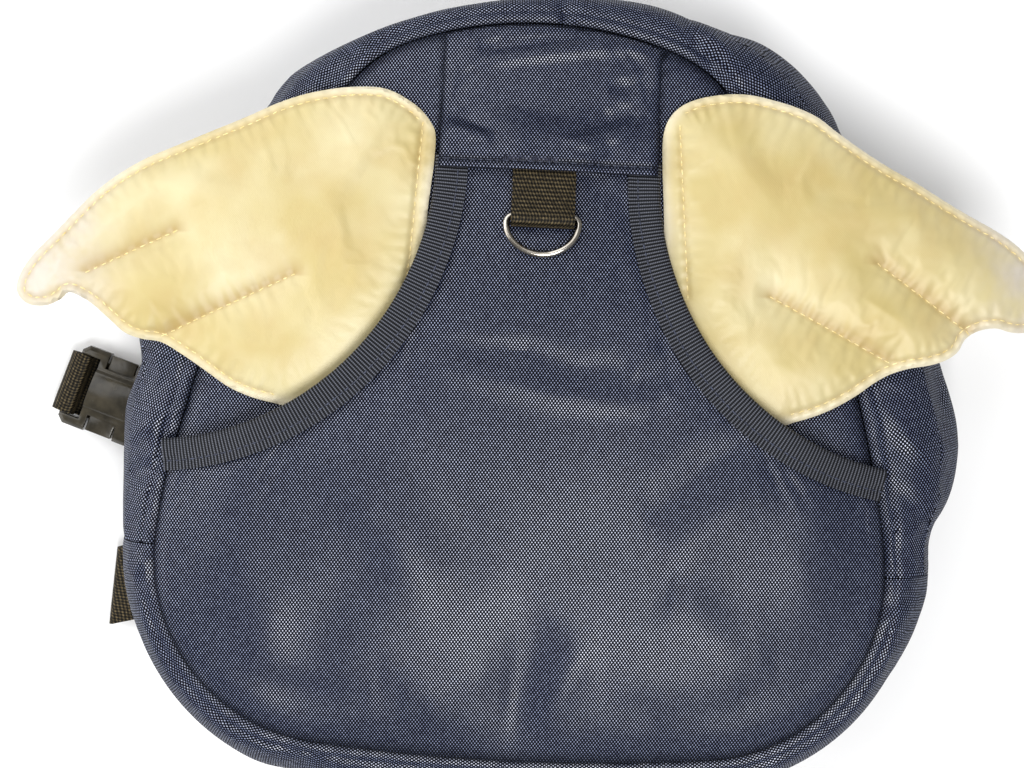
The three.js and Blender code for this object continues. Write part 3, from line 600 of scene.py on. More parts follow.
POCKET_FOLDS = (
    (((66, -15), (52, -24), (36, -39)), 5.5, -1.3),
    (((74, -27), (58, -38), (42, -52)), 6.0, 1.0),
    (((-57, -24), (-41, -44), (-24, -66)), 8.0, 1.3),
    (((-34, -18), (-22, -38), (-6, -58)), 8.0, -0.7),
    (((8, -70), (2, -90), (-2, -109)), 6.5, -1.5),
    (((22, -76), (15, -90), (9, -104)), 4.5, 1.2),
    (((-84, -92), (-64, -99), (-44, -99)), 4.5, -1.2),
    (((-40, -92), (-24, -97), (-8, -91)), 4.0, 0.7),
    (((24, -92), (44, -102), (72, -98)), 4.0, -0.7),
    (((44, -62), (60, -76), (70, -88)), 8.0, 1.2),
    (((-92, -50), (-80, -66), (-72, -86)), 7.0, 0.6),
)

POCKET_CREASES = (
    (((-36, 9), (-27, 10), (-13, 8), (-1, 9), (14, 4), (24, 5), (30, 2)), 2.3, -1.4),
    (((-36, 8), (-29, 4), (-10, 0), (8, -4), (23, -5), (35, -5), (42, 1)), 2.6, 1.5),
    (((30, 2), (33, 7), (38, 12)), 2.0, 1.0),
)

pocket = upper_sheet("pocket_panel", "pocket_cloth")
pocket_plan = plan_of(pocket)
finer(pocket, 2)
sink_seam(pocket)
press(pocket, POCKET_FOLDS)
points = points_of(pocket)
bound = np.maximum(from_mouth(points, -1), from_mouth(points, 1)) > -TAPE_HOLD
settle(pocket, on_edge(pocket) | bound, slack=0.004, pressure=2, cap=1.6 * MM)
finer(pocket, 1)
press(pocket, POCKET_CREASES)
lay_flat(pocket)
dress_panel(pocket, "pocket_panel", **pocket_plan)

# %% [markdown]
# The side wall is three strips: one round the bottom, and two over the top with the zip between
# them. Each rolls from the front seam to the back seam. Handling has left creases in it, and a row
# of stitches beside the seam presses a narrow groove that makes a welt of the edge.

# %% Folds and welt of the side wall
wall_low, wall_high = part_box("gusset_base")
WALL_MIDDLE = (wall_low.z + wall_high.z) / 2
WALL_HALF = (wall_high.z - wall_low.z) / 2
WALL_FOLDS = {
    "gusset_base": (
        (((-122, -64), (-112, -60), (-104, -57)), 3.0, 0.8),
        (((128, -58), (118, -66), (106, -70)), 3.0, 0.8),
        (((-96, -104), (-84, -112), (-70, -116)), 4.0, 0.7),
        (((60, -116), (80, -112), (96, -100)), 4.0, 0.7),
    ),
    "gusset_front": (
        (((-122, -24), (-110, -16), (-100, -9)), 2.6, 1.2),
        (((-124, -38), (-112, -31), (-104, -26)), 2.6, -1.0),
        (((-68, 87), (-63, 93), (-57, 99)), 2.6, -1.1),
        (((-60, 90), (-55, 96), (-51, 101)), 2.4, 0.9),
        (((6, 117), (6, 112), (7, 106)), 1.8, -1.4),
        (((41, 113), (48, 103), (56, 91)), 2.2, -1.2),
        (((47, 113), (53, 105), (61, 93)), 3.0, 1.0),
        (((126, -20), (116, -12), (106, -2)), 3.0, 1.0),
        (((128, -40), (118, -32), (110, -26)), 3.0, -1.0),
    ),
    "gusset_back": (
        (((-118, 22), (-121, 8), (-123, -4)), 3.0, -1.2),
        (((122, 26), (128, 6), (132, -14)), 4.0, -1.4),
        (((60, 112), (78, 100), (94, 84)), 4.0, 1.2),
        (((-60, 112), (-76, 100), (-90, 84)), 4.0, 1.2),
    ),
}
WELT = 4.2 * MM
WELT_GROOVE = 0.8 * MM
WELT_WIDTH = 0.9 * MM


def stitch_welt(obj):
    points = points_of(obj)
    away, _ = nearest(points, rim)
    dip = WELT_GROOVE * bell(away - WELT, WELT_WIDTH)
    put_points(obj, points - numbers(obj.data.vertices, "normal") * dip[:, None])


print("side wall folds", {node: len(folds) for node, folds in WALL_FOLDS.items()})


# %% [markdown]
# The left side of the bag is fuller just under the wing, so the wall stands out there by a few
# millimetres, and the zip behind the flap goes with it. The push runs straight out from the seam
# line, fades along the wall, and is nothing at the seams, where the wall is sewn.

# %% Fuller left side
BULGE = 4.4 * MM
BULGE_Y = 18 * MM
BULGE_REACH = 27 * MM
BULGE_FROM = 1 * MM
BULGE_FULL = 10 * MM


def off_seam(points):
    _, step = nearest(points, rim)
    out = ((points[:, :2] - rim[step]) * rim_out[step]).sum(axis=1)
    return out, step


def bulge_left(obj):
    points = points_of(obj)
    out, step = off_seam(points)
    fade = bell(points[:, 1] - BULGE_Y, BULGE_REACH) * (points[:, 0] < 0)
    push = BULGE * fade * rise(out, BULGE_FROM, BULGE_FULL)
    points[:, :2] += rim_out[step] * push[:, None]
    put_points(obj, points)


# %% [markdown]
# Each strip starts from its solid. Only the outer skin is kept, the one that faces away from the
# middle of the roll. It settles as cloth between its edges and is creased after that. Its weave is
# laid by the distance along the seam and over the roll. Cut flat, its width is its area over its
# length, with a little to spare.

# %% Side wall
FACES_OUT = 0.3
FLAT_SPARE = 1.02
WALL_STRIPS = (
    ("gusset_base", "side_wall_base", False, 2.5 * MM),
    ("gusset_front", "side_wall_front", True, 0.8 * MM),
    ("gusset_back", "side_wall_back", True, 2.5 * MM),
)


def outer_skin(obj):
    centres = numbers(obj.data.polygons, "center")
    out, step = off_seam(centres)
    away = np.column_stack([rim_out[step] * out[:, None], centres[:, 2] - WALL_MIDDLE])
    away /= np.linalg.norm(away, axis=1, keepdims=True)
    keep_faces(obj, (numbers(obj.data.polygons, "normal") * away).sum(axis=1) > FACES_OUT)


def lay_round(obj, over_top):
    points = points_of(obj)
    out, step = off_seam(points)
    along = step * LINE_STEP
    if over_top:
        along = (along + RIM_LENGTH / 2) % RIM_LENGTH
    roll = np.arctan2(points[:, 2] - WALL_MIDDLE, np.maximum(out, 0))
    lay_weave(obj, roll * WALL_HALF, along)
    return np.ptp(along)


def wall_strip(node, name, over_top, cap):
    obj = copy_of(node, name)
    outer_skin(obj)
    area = area_of(obj)
    finer(obj, 2)
    sink_seam(obj)
    settle(obj, on_edge(obj), slack=0.008, pressure=1, cap=cap)
    finer(obj, 1)
    press(obj, WALL_FOLDS[node])
    bulge_left(obj)
    stitch_welt(obj)
    length = lay_round(obj, over_top)
    dress_panel(obj, node, flat=(area / length * FLAT_SPARE, length), area=area)


for node, name, over_top, cap in WALL_STRIPS:
    wall_strip(node, name, over_top, cap)

# %% [markdown]
# The back panel lies on the shoulder straps and is out of sight. It is a plain flat cloth, so its
# solid is only made finer. Its sharp edges are creased first, or subdivision would round them away.

# %% Back panel
BACK_EDGE = 60


def crease_sharp(obj, angle):
    with editing(obj):
        bpy.ops.mesh.select_mode(type="EDGE")
        bpy.ops.mesh.select_all(action="DESELECT")
        bpy.ops.mesh.edges_select_sharp(sharpness=math.radians(angle))
        bpy.ops.transform.edge_crease(value=1)


back = copy_of("back_panel", "back_panel_cloth")
back_plan = plan_of(back, faces=2)
crease_sharp(back, BACK_EDGE)
finer(back, 3)
lay_flat(back)
hand_in(back, "back_panel", NAVY)

# %% [markdown]
# The yoke is the centre strip at the top of the front. Its folded hem covers the pocket's top edge
# and the end of the ring tab. Its sides are sewn down, so they dip; its middle is puffed by settling
# as cloth. The hem is turned up and stitched, which leaves a groove above its edge.

# %% Yoke
SIDE_DIP = 1.3 * MM
SIDE_REACH = 3 * MM
HEM_BAND = 7 * MM

YOKE_CREASES = (
    (((7, 74), (15, 78), (25, 82), (29, 83)), 2.2, -1.7),
    (((7, 72), (16, 72), (24, 75), (29, 79)), 2.2, 1.5),
    (((-28, 78), (-22, 78), (-14, 74)), 2.0, -1.6),
    (((-28, 75), (-22, 73), (-14, 72)), 2.0, 1.4),
    (((-25, 94), (-6, 98), (14, 101), (33, 102)), 2.6, 1.6),
    (((-20, 100), (-4, 102), (16, 106)), 2.4, -1.3),
    (((20, 89), (27, 90), (33, 93)), 2.4, -1.3),
)
HEM_STITCH = 2.4 * MM
HEM_GROOVE = 0.5 * MM
HEM_GROOVE_WIDTH = 0.7 * MM

yoke = upper_sheet("front_yoke", "yoke_cloth")
yoke_plan = plan_of(yoke)
finer(yoke, 2)
sink_seam(yoke)
points = points_of(yoke)
to_side = np.minimum(points[:, 0] - yoke_low.x, yoke_high.x - points[:, 0])
points[:, 2] -= SIDE_DIP * falling(to_side, SIDE_REACH)
put_points(yoke, points)
hemmed = points[:, 1] < hem_y + HEM_BAND
settle(yoke, on_edge(yoke) | hemmed, slack=0.006, pressure=3, cap=1.5 * MM)
finer(yoke, 1)
press(yoke, YOKE_CREASES)
points = points_of(yoke)
points[:, 2] -= HEM_GROOVE * bell(points[:, 1] - hem_y - HEM_STITCH, HEM_GROOVE_WIDTH)
put_points(yoke, points)
hem_line = ((yoke_low.x, hem_y + HEM_STITCH), (yoke_high.x, hem_y + HEM_STITCH))
lay_flat(yoke)
dress_panel(yoke, "front_yoke", yoke_sides + [hem_line], **yoke_plan)

# %% [markdown]
# Ribbed tape binds the two pocket mouths. Its ribs cross the tape, so the map made for it runs along
# the arc, and one sine along that map is enough for the ribs. A finer one breaks them into yarns.

# %% Ribbed tape finish
RIB = 0.98 * MM
TAPE_YARN = 0.55 * MM
TAPE, shader, s = new_finish("ribbed_tape", gloss=0.15)
along, across = s.weave_map()
ribs = along.wave(RIB) * 0.5 + 0.5
yarns = across.wave(TAPE_YARN) * 0.5 + 0.5
worn = s.noise(40, 3)
ground = worn.between(0.35, 0.65).mix(srgb(4, 4, 7), srgb(9, 10, 15))
crest = yarns.mix(srgb(58, 61, 71), srgb(114, 117, 126))
feed(
    shader,
    base_color=(ribs**2.0).mix(ground, crest),
    roughness=worn * 0.15 + 0.5,
    normal=s.bump(ribs + yarns * 0.2, 0.3 * MM, 0.8),
)
print("finish", TAPE.name)

# %% [markdown]
# Each tape is its solid made finer, with a groove where it is sewn. At its low end it runs on into
# the front seam: its last stretch is slid round the arc and set to the pocket's own height there.
# Heights come from rays cast down onto a neighbour, a search tree of its faces.

# %% Ribbed tapes
TAPE_STITCH = 6.6 * MM
TAPE_GROOVE = 0.45 * MM
TAPE_GROOVE_WIDTH = 0.8 * MM
TAPE_MORE = 6.2 * MM
TAPE_EASE = 22 * MM
MOUTH_SAFE = 3 * MM
SHARP_EDGE = 75
CLEAR_OF_BAG = 200 * MM
FRONT_HEIGHT = 70 * MM
SIDES = (("left", -1), ("right", 1))


def fine_copy(node, name):
    obj = copy_of(node, name)
    area = area_of(obj) / 2
    crease_sharp(obj, SHARP_EDGE)
    finer(obj, 2)
    return obj, area


def faces_of(obj):
    return BVHTree.FromObject(obj, bpy.context.evaluated_depsgraph_get())


def heights(tree, places, way):
    found = []
    for x, y in places:
        hit = tree.ray_cast(Vector((x, y, CLEAR_OF_BAG * way)), Vector((0, 0, -way)))[0]
        found.append((hit or tree.find_nearest(Vector((x, y, FRONT_HEIGHT)))[0]).z)
    return np.array(found)


def on_arc(far, turn, sign):
    return mouth_middle(sign) + np.column_stack([-sign * far * np.cos(turn), far * np.sin(turn)])


pocket_tree = faces_of(pocket)


def binding(side, sign):
    node = f"pocket_binding_{side}"
    obj, area = fine_copy(node, f"mouth_tape_{side}")
    points = points_of(obj)
    spoke = points[:, :2] - mouth_middle(sign)
    far = np.linalg.norm(spoke, axis=1)
    turn = np.arctan2(spoke[:, 1], -sign * spoke[:, 0])
    along = turn * MOUTH_RADIUS
    more = TAPE_MORE * falling(along - along.min(), TAPE_EASE)
    under = np.maximum(far, MOUTH_RADIUS + MOUTH_SAFE)
    before = heights(pocket_tree, on_arc(under, turn, sign), 1)
    after = heights(pocket_tree, on_arc(under, turn - more / far, sign), 1)
    points[:, :2] = on_arc(far, turn - more / far, sign)
    points[:, 2] += after - before
    groove = bell(far - MOUTH_RADIUS - TAPE_STITCH, TAPE_GROOVE_WIDTH)
    points[:, 2] -= TAPE_GROOVE * groove * (numbers(obj.data.vertices, "normal")[:, 2] > FACES_OUT)
    put_points(obj, points)
    along = along - more
    lay_weave(obj, along, far)
    hand_in(obj, node, TAPE)
    return obj


tapes = {side: binding(side, sign) for side, sign in SIDES}

# %% [markdown]
# The wings are two faces of cream satin with thin wadding between them. The satin is not new: it is
# paler along its edges and at the tips. Broad soft patches are painted lighter and darker as painted
# sheen, darker tan patches and the stitch lines carry painted shade, and so does the valley above
# each feather line. Those places are noted on the mesh, and slow noise breaks them up, so no picture
# is needed.

# %% Wing satin
SATIN_ALONG = 0.62 * MM
SATIN_ACROSS = 0.5 * MM
SATIN, shader, s = new_finish("wing_satin", sheen_weight=0.1, coat_weight=0.3, coat_roughness=0.34)
along, across = s.weave_map()
floats = along.wave(SATIN_ALONG) * across.wave(SATIN_ACROSS)
# painted sheen: broad lighter and darker patches across the cream
sheen_patches = s.noise(26, 3)
# painted shade: soft darker tan patches; the same noise also varies the roughness and the pale tips
shade_patches = s.noise(70, 4)
cream = sheen_patches.between(0.35, 0.65).mix(srgb(195, 177, 117), srgb(213, 202, 159))
cream = (shade_patches.between(0.45, 0.8) * 0.45).mix(cream, srgb(186, 158, 97))
cream = (s.noted("edge") * sheen_patches.between(0.2, 0.55)).mix(cream, srgb(224, 214, 186))
cream = (s.noted("tip") * shade_patches.between(0.25, 0.6)).mix(cream, srgb(207, 198, 183))
cream = (s.noted("shade") * 0.7).mix(cream, srgb(170, 142, 84))
# painted shade along the stitch lines
cream = (s.noted("seam") * 0.4).mix(cream, srgb(178, 148, 88))
feed(shader, base_color=cream, roughness=shade_patches * 0.2 + 0.3, normal=s.bump(floats, 0.05 * MM, 0.5))
print("finish", SATIN.name)

# %% [markdown]
# Each wing is topstitched along its free edge, sewn down along its root and stitched through along
# two feather lines. The outline is read from the upright rim band of the solid and rounded by a curve
# through its corners. The root and the feathers are straight lines, measured from the hem's middle.

# %% Stitch lines of the wings
FEATHERS = {
    -1: (((138.6, -36.1), (111.6, -22.8)), ((113.8, -54.2), (74.8, -34.3))),
    1: (((130.2, -42.1), (101, -22.9)), ((105.2, -52.1), (68.8, -34.5))),
}
ROOT_LINES = {
    -1: ((38.3, 13.1), (40.3, -28), (41.5, -41)),
    1: ((39.1, 15.2), (43.6, -35.5)),
}
STITCH_INSET = 2.6 * MM
ROOT_OUT = 46 * MM
CORNER_SAFE = 0.92
EDGE_REACH = 4
CURVE_STEPS = 12


def on_front(line, sign):
    return np.array([(yoke_middle + sign * out * MM, hem_y + up * MM) for out, up in line])


def round_off(loop):
    a, b, c, d = (np.roll(loop, back, axis=0)[:, None] for back in (1, 0, -1, -2))
    s = np.linspace(0, 1, CURVE_STEPS, endpoint=False)[None, :, None]
    curve = b + s / 2 * (c - a + s * (2 * a - 5 * b + 4 * c - d + s * (3 * (b - c) + d - a)))
    return evenly(curve.reshape(-1, 2), closed=True)


def wing_edge(node):
    band = copy_of(node, "outline")
    keep_faces(band, np.abs(facing(band, UP)) < FACES_UP)
    edge = round_off(points_of(band)[open_edge(band)][:, :2])
    bpy.data.objects.remove(band)
    return edge, -outward(edge, EDGE_REACH)


def wing_lines(edge, inward, sign):
    free = from_mouth(edge, sign) > MOUTH_SAFE
    aside = np.abs(edge[:, 0] - yoke_middle)
    free &= (edge[:, 1] > hem_y) | (aside > ROOT_OUT)
    first = np.flatnonzero(free & ~np.roll(free, 1))[0]
    top = np.roll(edge + inward * STITCH_INSET, -first, axis=0)[np.roll(free, -first)]
    top = top[nearest(top, edge)[0] > CORNER_SAFE * STITCH_INSET]
    drawn = (ROOT_LINES[sign], *FEATHERS[sign])
    lines = [evenly(top)] + [evenly(on_front(line, sign)) for line in drawn]
    print("wing stitched along", [round(len(line) * LINE_STEP / MM) for line in lines], "mm")
    return lines


# %% [markdown]
# An outline could be filled and inset ring by ring, but these have deep notches, where inset rings
# fold over. So a sheet is cut to the outline and filled with small even triangles, which suit cloth.
# Its heights are then evened out from neighbour to neighbour, as wadding does it.

# %% Cutting a sheet
GRID = 0.9 * MM
ROW = math.sqrt(3) / 2
GRID_CLEAR = 0.6
EVEN_TIMES = 70
INSIDE_ONLY = 1
SAME_POINT = 1e-7


def cut_sheet(edge):
    loop = evenly(edge, GRID, closed=True)
    low, high = edge.min(axis=0), edge.max(axis=0)
    rows = np.arange(low[1], high[1], GRID * ROW)
    columns = np.arange(low[0], high[0], GRID)
    inner = np.array([(x + GRID / 2 * (i % 2), y) for i, y in enumerate(rows) for x in columns])
    inner = inner[nearest(inner, edge)[0] > GRID_CLEAR * GRID]
    ring = list(range(len(loop)))
    spots = [Vector(spot) for spot in np.vstack([loop, inner])]
    ends = list(zip(ring, ring[1:] + ring[:1]))
    spots, _, faces, *_ = delaunay_2d_cdt(spots, ends, [ring], INSIDE_ONLY, SAME_POINT)
    used, faces = np.unique(np.array(faces), return_inverse=True)
    return np.array(spots)[used], faces.reshape(-1, 3), len(loop)


def even_out(values, faces, fixed):
    ends = np.vstack([faces[:, [0, 1]], faces[:, [1, 2]], faces[:, [2, 0]]])
    a, b = np.vstack([ends, ends[:, ::-1]]).T
    count = np.bincount(a)
    start = values
    for _ in range(EVEN_TIMES):
        around = np.bincount(a, values[b]) / count
        values = np.where(fixed, start, (values + around) / 2)
    return values


def sheet_of(name, points, faces):
    mesh = bpy.data.meshes.new(name)
    mesh.from_pydata(points.tolist(), [], faces.tolist())
    obj = bpy.data.objects.new(name, mesh)
    bpy.context.scene.collection.objects.link(obj)
    return obj


# %% [markdown]
# Every line of stitches pulls a groove into the padding and small puckers along it. The puckers are
# a sine along the line whose pitch wanders a little, as a hand-fed machine leaves them.

# %% Puckers
GROOVE = 0.7 * MM
GROOVE_WIDTH = 0.8 * MM
PUCKER = 0.2 * MM
PUCKER_PITCH = 4.2 * MM
PUCKER_WIDTH = 4.5 * MM
PUCKER_WANDER = 9 * MM
PUCKER_STRAY = 2


def stitched(points, lines):
    seam = np.full(len(points), np.inf)
    pucker = np.zeros(len(points))
    for i, line in enumerate(lines):
        away, step = nearest(points, line)
        seam = np.minimum(seam, away)
        run = step * LINE_STEP
        stray = PUCKER_STRAY * np.sin(run / PUCKER_WANDER + i)
        wave = np.sin(run * 2 * math.pi / PUCKER_PITCH + stray)
        pucker += PUCKER * wave * bell(away, PUCKER_WIDTH)
    return seam, pucker - GROOVE * bell(seam, GROOVE_WIDTH)


# %% [markdown]
# The sheet is lifted to the heights of its solid, found by rays from above and from below, with a
# round roll at its edge. A valley is pressed along each feather line. Then the top settles as cloth
# between its stitches, the stitches pull it in, and an underside is added that shares the edge ring.

# %% Wings
EDGE_SAFE = 1.2 * MM
EDGE_ROLL = 1.0 * MM
EDGE_PALE = 2.2 * MM
EDGE_HELD = 3.2 * MM
FEATHER_HELD = 1.2 * MM
TAPE_HELD = 5 * MM
VALLEY = 1.3 * MM
VALLEY_WIDTH = 5 * MM
STITCH_SHADE_REACH = 0.7 * MM
SHADE_WIDTH = 3.4 * MM
TIP_FROM = 122 * MM
TIP_REACH = 25 * MM


def pad_heights(node, flat, faces, fixed, edge, inward):
    away, step = nearest(flat, edge)
    safe = flat + inward[step] * np.maximum(0, EDGE_SAFE - away)[:, None]
    tree = faces_of(frame["nodes"][node])
    under, over = heights(tree, safe, -1), heights(tree, safe, 1)
    pad = even_out(over - under, faces, fixed)
    under = even_out(under, faces, fixed)
    roll = np.sqrt(1 - falling(away, EDGE_ROLL)) / 2
    return away, under + pad * (0.5 - roll), under + pad * (0.5 + roll)


def valley_shade(points, lines):
    shade = np.zeros(len(points))
    for line in lines:
        away, step = nearest(points, line)
        above = points[:, 1] > line[step, 1]
        shade = np.maximum(shade, bell(away, SHADE_WIDTH) * above)
    return shade


def wing(side, sign):
    node, name = f"wing_{side}", f"padded_wing_{side}"
    edge, inward = wing_edge(node)
    lines = wing_lines(edge, inward, sign)
    flat, faces, ring = cut_sheet(edge)
    tight = from_mouth(flat, sign) < TAPE_HELD
    fixed = tight | (np.arange(len(flat)) < ring)
    away, low, high = pad_heights(node, flat, faces, fixed, edge, inward)
    to_feather = np.minimum(*(nearest(flat, line)[0] for line in lines[2:]))
    high -= VALLEY * bell(to_feather, VALLEY_WIDTH) * ~tight
    obj = sheet_of(name, np.column_stack([flat, high]), faces)
    held = (away < EDGE_HELD) | (to_feather < FEATHER_HELD) | tight
    settle(obj, held, slack=0.008, pressure=3, cap=1.6 * MM)
    top = points_of(obj)
    bpy.data.objects.remove(obj)
    seam, dip = stitched(top, lines)
    top[ring:, 2] += dip[ring:]
    below = np.where(faces < ring, faces, faces + len(flat) - ring)[:, ::-1]
    points = np.vstack([top, np.column_stack([flat, low])[ring:]])
    obj = sheet_of(name, points, np.vstack([faces, below]))
    with editing(obj):
        bpy.ops.mesh.normals_make_consistent(inside=False)
    note(obj, "edge", bell(np.append(away, away[ring:]), EDGE_PALE))
    # painted shade: nearness to the stitch lines, which the satin finish darkens
    note(obj, "seam", bell(np.append(seam, seam[ring:]), STITCH_SHADE_REACH))
    note(obj, "shade", valley_shade(points, lines[2:]))
    note(obj, "tip", rise(np.abs(points[:, 0] - yoke_middle), TIP_FROM, TIP_FROM + TIP_REACH))
    lay_flat(obj)
    hand_in(obj, node, SATIN)
    return obj, lines


wings = {side: wing(side, sign) for side, sign in SIDES}

# %% [markdown]
# The webbing is a coarse flat weave of dull black yarn with a brownish cast. Two sines that lean
# either way and are multiplied give the small diamonds that such webbing shows. The crowns of the
# diamonds are painted a lighter olive brown than the yarn, a painted highlight.

# %% Webbing finish
WEB_ALONG = 1.25 * MM
WEB_ACROSS = 0.95 * MM
WEBBING, shader, s = new_finish("black_webbing", gloss=0.15)
along, across = s.weave_map()
warp, weft = along * (math.pi / WEB_ALONG), across * (math.pi / WEB_ACROSS)
crowns = (warp + weft).sine() * (warp - weft).sine() * 0.5 + 0.5
fuzz = s.noise(1400, 2)
worn = s.noise(60, 3)
ground = worn.between(0.3, 0.7).mix(srgb(4, 3, 2), srgb(11, 9, 6))
# painted highlight: the crowns are painted lighter olive brown than the black yarn
crest = fuzz.between(0.35, 0.65).mix(srgb(52, 45, 30), srgb(110, 97, 70))
feed(
    shader,
    base_color=crowns.between(0.35, 0.95).mix(ground, crest),
    roughness=worn * 0.2 + 0.5,
    normal=s.bump(crowns + fuzz * 0.3, 0.25 * MM, 0.7),
)
print("finish", WEBBING.name)

# %% [markdown]
# Straps of webbing are too stiff and thin to gain from simulation, so they are copies of their
# solids with the long edges creased and the bends smoothed by subdivision. The table gives the way
# each strap runs, in degrees, for its map, and its width in millimetres. Those underneath rest on
# the floor.

# %% Webbing straps
BUCKLE_TURN = -18.3
STRAPS = (
    ("ring_tab", "ring_tab_webbing", 90, 19),
    ("lower_webbing_left", "lower_strap_left", 14, 26),
    ("lower_webbing_right", "lower_strap_right", -14, 26),
    ("chest_webbing_long", "chest_strap_long", BUCKLE_TURN, 20),
    ("chest_webbing_short", "chest_strap_short", BUCKLE_TURN, 20),
    ("grab_loop", "grab_loop_webbing", 90, 25),
)
STRAP_EDGE = 0.25 * MM
STRAP_ANGLE = math.radians(50)


def rest_on_floor(obj):
    points = points_of(obj)
    points[:, 2] = np.maximum(points[:, 2], 0)
    put_points(obj, points)


for node, name, turn, wide in STRAPS:
    obj, area = fine_copy(node, name)
    rest_on_floor(obj)
    apply(obj, "BEVEL", width=STRAP_EDGE, segments=2, limit_method="ANGLE", angle_limit=STRAP_ANGLE)
    lay_flat(obj, turn, steep=1)
    hand_in(obj, node, WEBBING)

# %% [markdown]
# The shoulder straps are padded tubes of the same navy cloth, and the bag lies on them. Their broad
# faces are held between the bag and the floor, so only their sides puff a little when they settle.

# %% Shoulder straps
PRESSED = 0.8
STRAP_TURN = 80
for side, _ in SIDES:
    node = f"shoulder_strap_{side}"
    pad = copy_of(node, f"padded_strap_{side}")
    finer(pad, 2)
    up = numbers(pad.data.vertices, "normal")[:, 2]
    settle(pad, np.abs(up) > PRESSED, slack=0.006, pressure=1, cap=0.8 * MM)
    finer(pad, 1)
    rest_on_floor(pad)
    lay_flat(pad, STRAP_TURN, steep=1)
    hand_in(pad, node, NAVY)

# %% [markdown]
# The zip lies closed in the slot under the flap, out of sight from above, and its slider is not to be
# seen. So it is one plain strip whose finish has the ridges of closed teeth across it.

# %% Zip
TOOTH = 1.4 * MM
ZIP, shader, s = new_finish("zip_tape")
_, across = s.weave_map()
teeth = across.wave(TOOTH) * 0.5 + 0.5
feed(
    shader,
    base_color=teeth.mix(srgb(10, 11, 17), srgb(36, 40, 54)),
    roughness=s.noise(60, 3) * 0.2 + 0.4,
    normal=s.bump(teeth, 0.4 * MM, 0.8),
)
zip_strip, zip_area = fine_copy("zip", "zip_closed")
bulge_left(zip_strip)
zip_length = lay_round(zip_strip, over_top=True)
hand_in(zip_strip, "zip", ZIP)

# %% [markdown]
# The ring is one bent wire. A bevelled curve could follow it, but true arcs are what a bender makes.
# So a circle, the wire's section, is extruded along half of the bar and spun round the corner and
# two easier arcs to the middle of the bow. A mirror makes the other half. Its sizes are in
# millimetres, each arc with its centre and its turn.

# %% D ring
RING_WIRE = 1.0 * MM
RING_BAR = 8.65
RING_ARCS = (
    ((RING_BAR, -2.2), 90.0),
    ((2.55, -2.2), 47.2),
    ((0.0, 0.55), 42.8),
)
RING_SIDES = 14
ARC_STEPS = 10
RING_MERGE = 0.02 * MM

NICKEL, shader, s = new_finish("nickel_wire", metallic=1.0)
worn = s.noise(160, 4)
colour = worn.between(0.4, 0.75).mix(srgb(196, 191, 182), srgb(140, 131, 118))
feed(shader, base_color=colour, roughness=worn.between(0.3, 0.8) * 0.16 + 0.1)
bpy.ops.object.select_all(action="DESELECT")
bpy.ops.mesh.primitive_circle_add(vertices=RING_SIDES, radius=RING_WIRE, rotation=(0, math.pi / 2, 0))
ring = bpy.context.active_object
ring.name = "ring_wire"
bpy.ops.object.transform_apply(location=True, rotation=True, scale=True)
bpy.ops.object.mode_set(mode="EDIT")
bpy.ops.mesh.select_all(action="SELECT")
bpy.ops.mesh.extrude_region_move(TRANSFORM_OT_translate={"value": (RING_BAR * MM, 0, 0)})
for (x, y), turn in RING_ARCS:
    centre = (x * MM, y * MM, 0)
    bpy.ops.mesh.spin(steps=ARC_STEPS, angle=math.radians(turn), center=centre, axis=UP)
bpy.ops.object.mode_set(mode="OBJECT")
apply(ring, "MIRROR", use_axis=(True, False, False), merge_threshold=RING_MERGE)
with editing(ring):
    bpy.ops.mesh.remove_doubles(threshold=RING_MERGE)
    bpy.ops.mesh.normals_make_consistent(inside=False)
ring_low, ring_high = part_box("d_ring")
bar = Vector(next(j for j in frame["joints"] if j["name"] == "ring_swing")["pos_m"])
drop = bar.z - (ring_high.z - RING_WIRE)
ring.rotation_euler = (math.atan2(drop, bar.y - (ring_low.y + RING_WIRE)), 0, 0)
ring.location = bar
pick(ring)
bpy.ops.object.transform_apply(location=True, rotation=True, scale=True)
hand_in(ring, "d_ring", NICKEL, body="ring")
print("ring box", [round(v / MM, 1) for v in np.ptp(points_of(ring), axis=0)], "mm")

# %% [markdown]
# The side release buckle is moulded in black plastic, and it stays fastened. Its parts start from
# their solids, whose flat faces are joined. The socket's top is cut into narrow bands by bisecting,
# and the bands are lowered along a curve, which leaves a crowned plate with a step on either side.
# Then a bevel rounds every edge, as a mould needs.

# %% Buckle
PLASTIC, shader, s = new_finish("black_plastic")
worn = s.noise(220, 4)
scuffs = s.noise(900, 2, (1, 0.2, 1))
feed(
    shader,
    base_color=worn.between(0.3, 0.8).mix(srgb(36, 33, 25), srgb(72, 66, 53)),
    roughness=scuffs.between(0.4, 0.8) * 0.14 + 0.16,
    normal=s.bump(scuffs, 0.02 * MM, 0.4),
)
buckle_turn = math.radians(BUCKLE_TURN)
ACROSS = np.array((-math.sin(buckle_turn), math.cos(buckle_turn), 0))
PLATE_EDGE = 5.4 * MM
PLATE_FOOT = 7.0 * MM
PLATE_RISE = 1.9 * MM
PLATE_CROWN = 0.7 * MM
PLATE_CUTS = 5
MOULD_EDGE = 0.7 * MM
MOULD_ANGLE = math.radians(30)
FLAT_ANGLE = math.radians(4)
buckle_low, buckle_high = (np.array(corner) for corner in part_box("buckle_socket"))
buckle_middle = (buckle_low + buckle_high) / 2


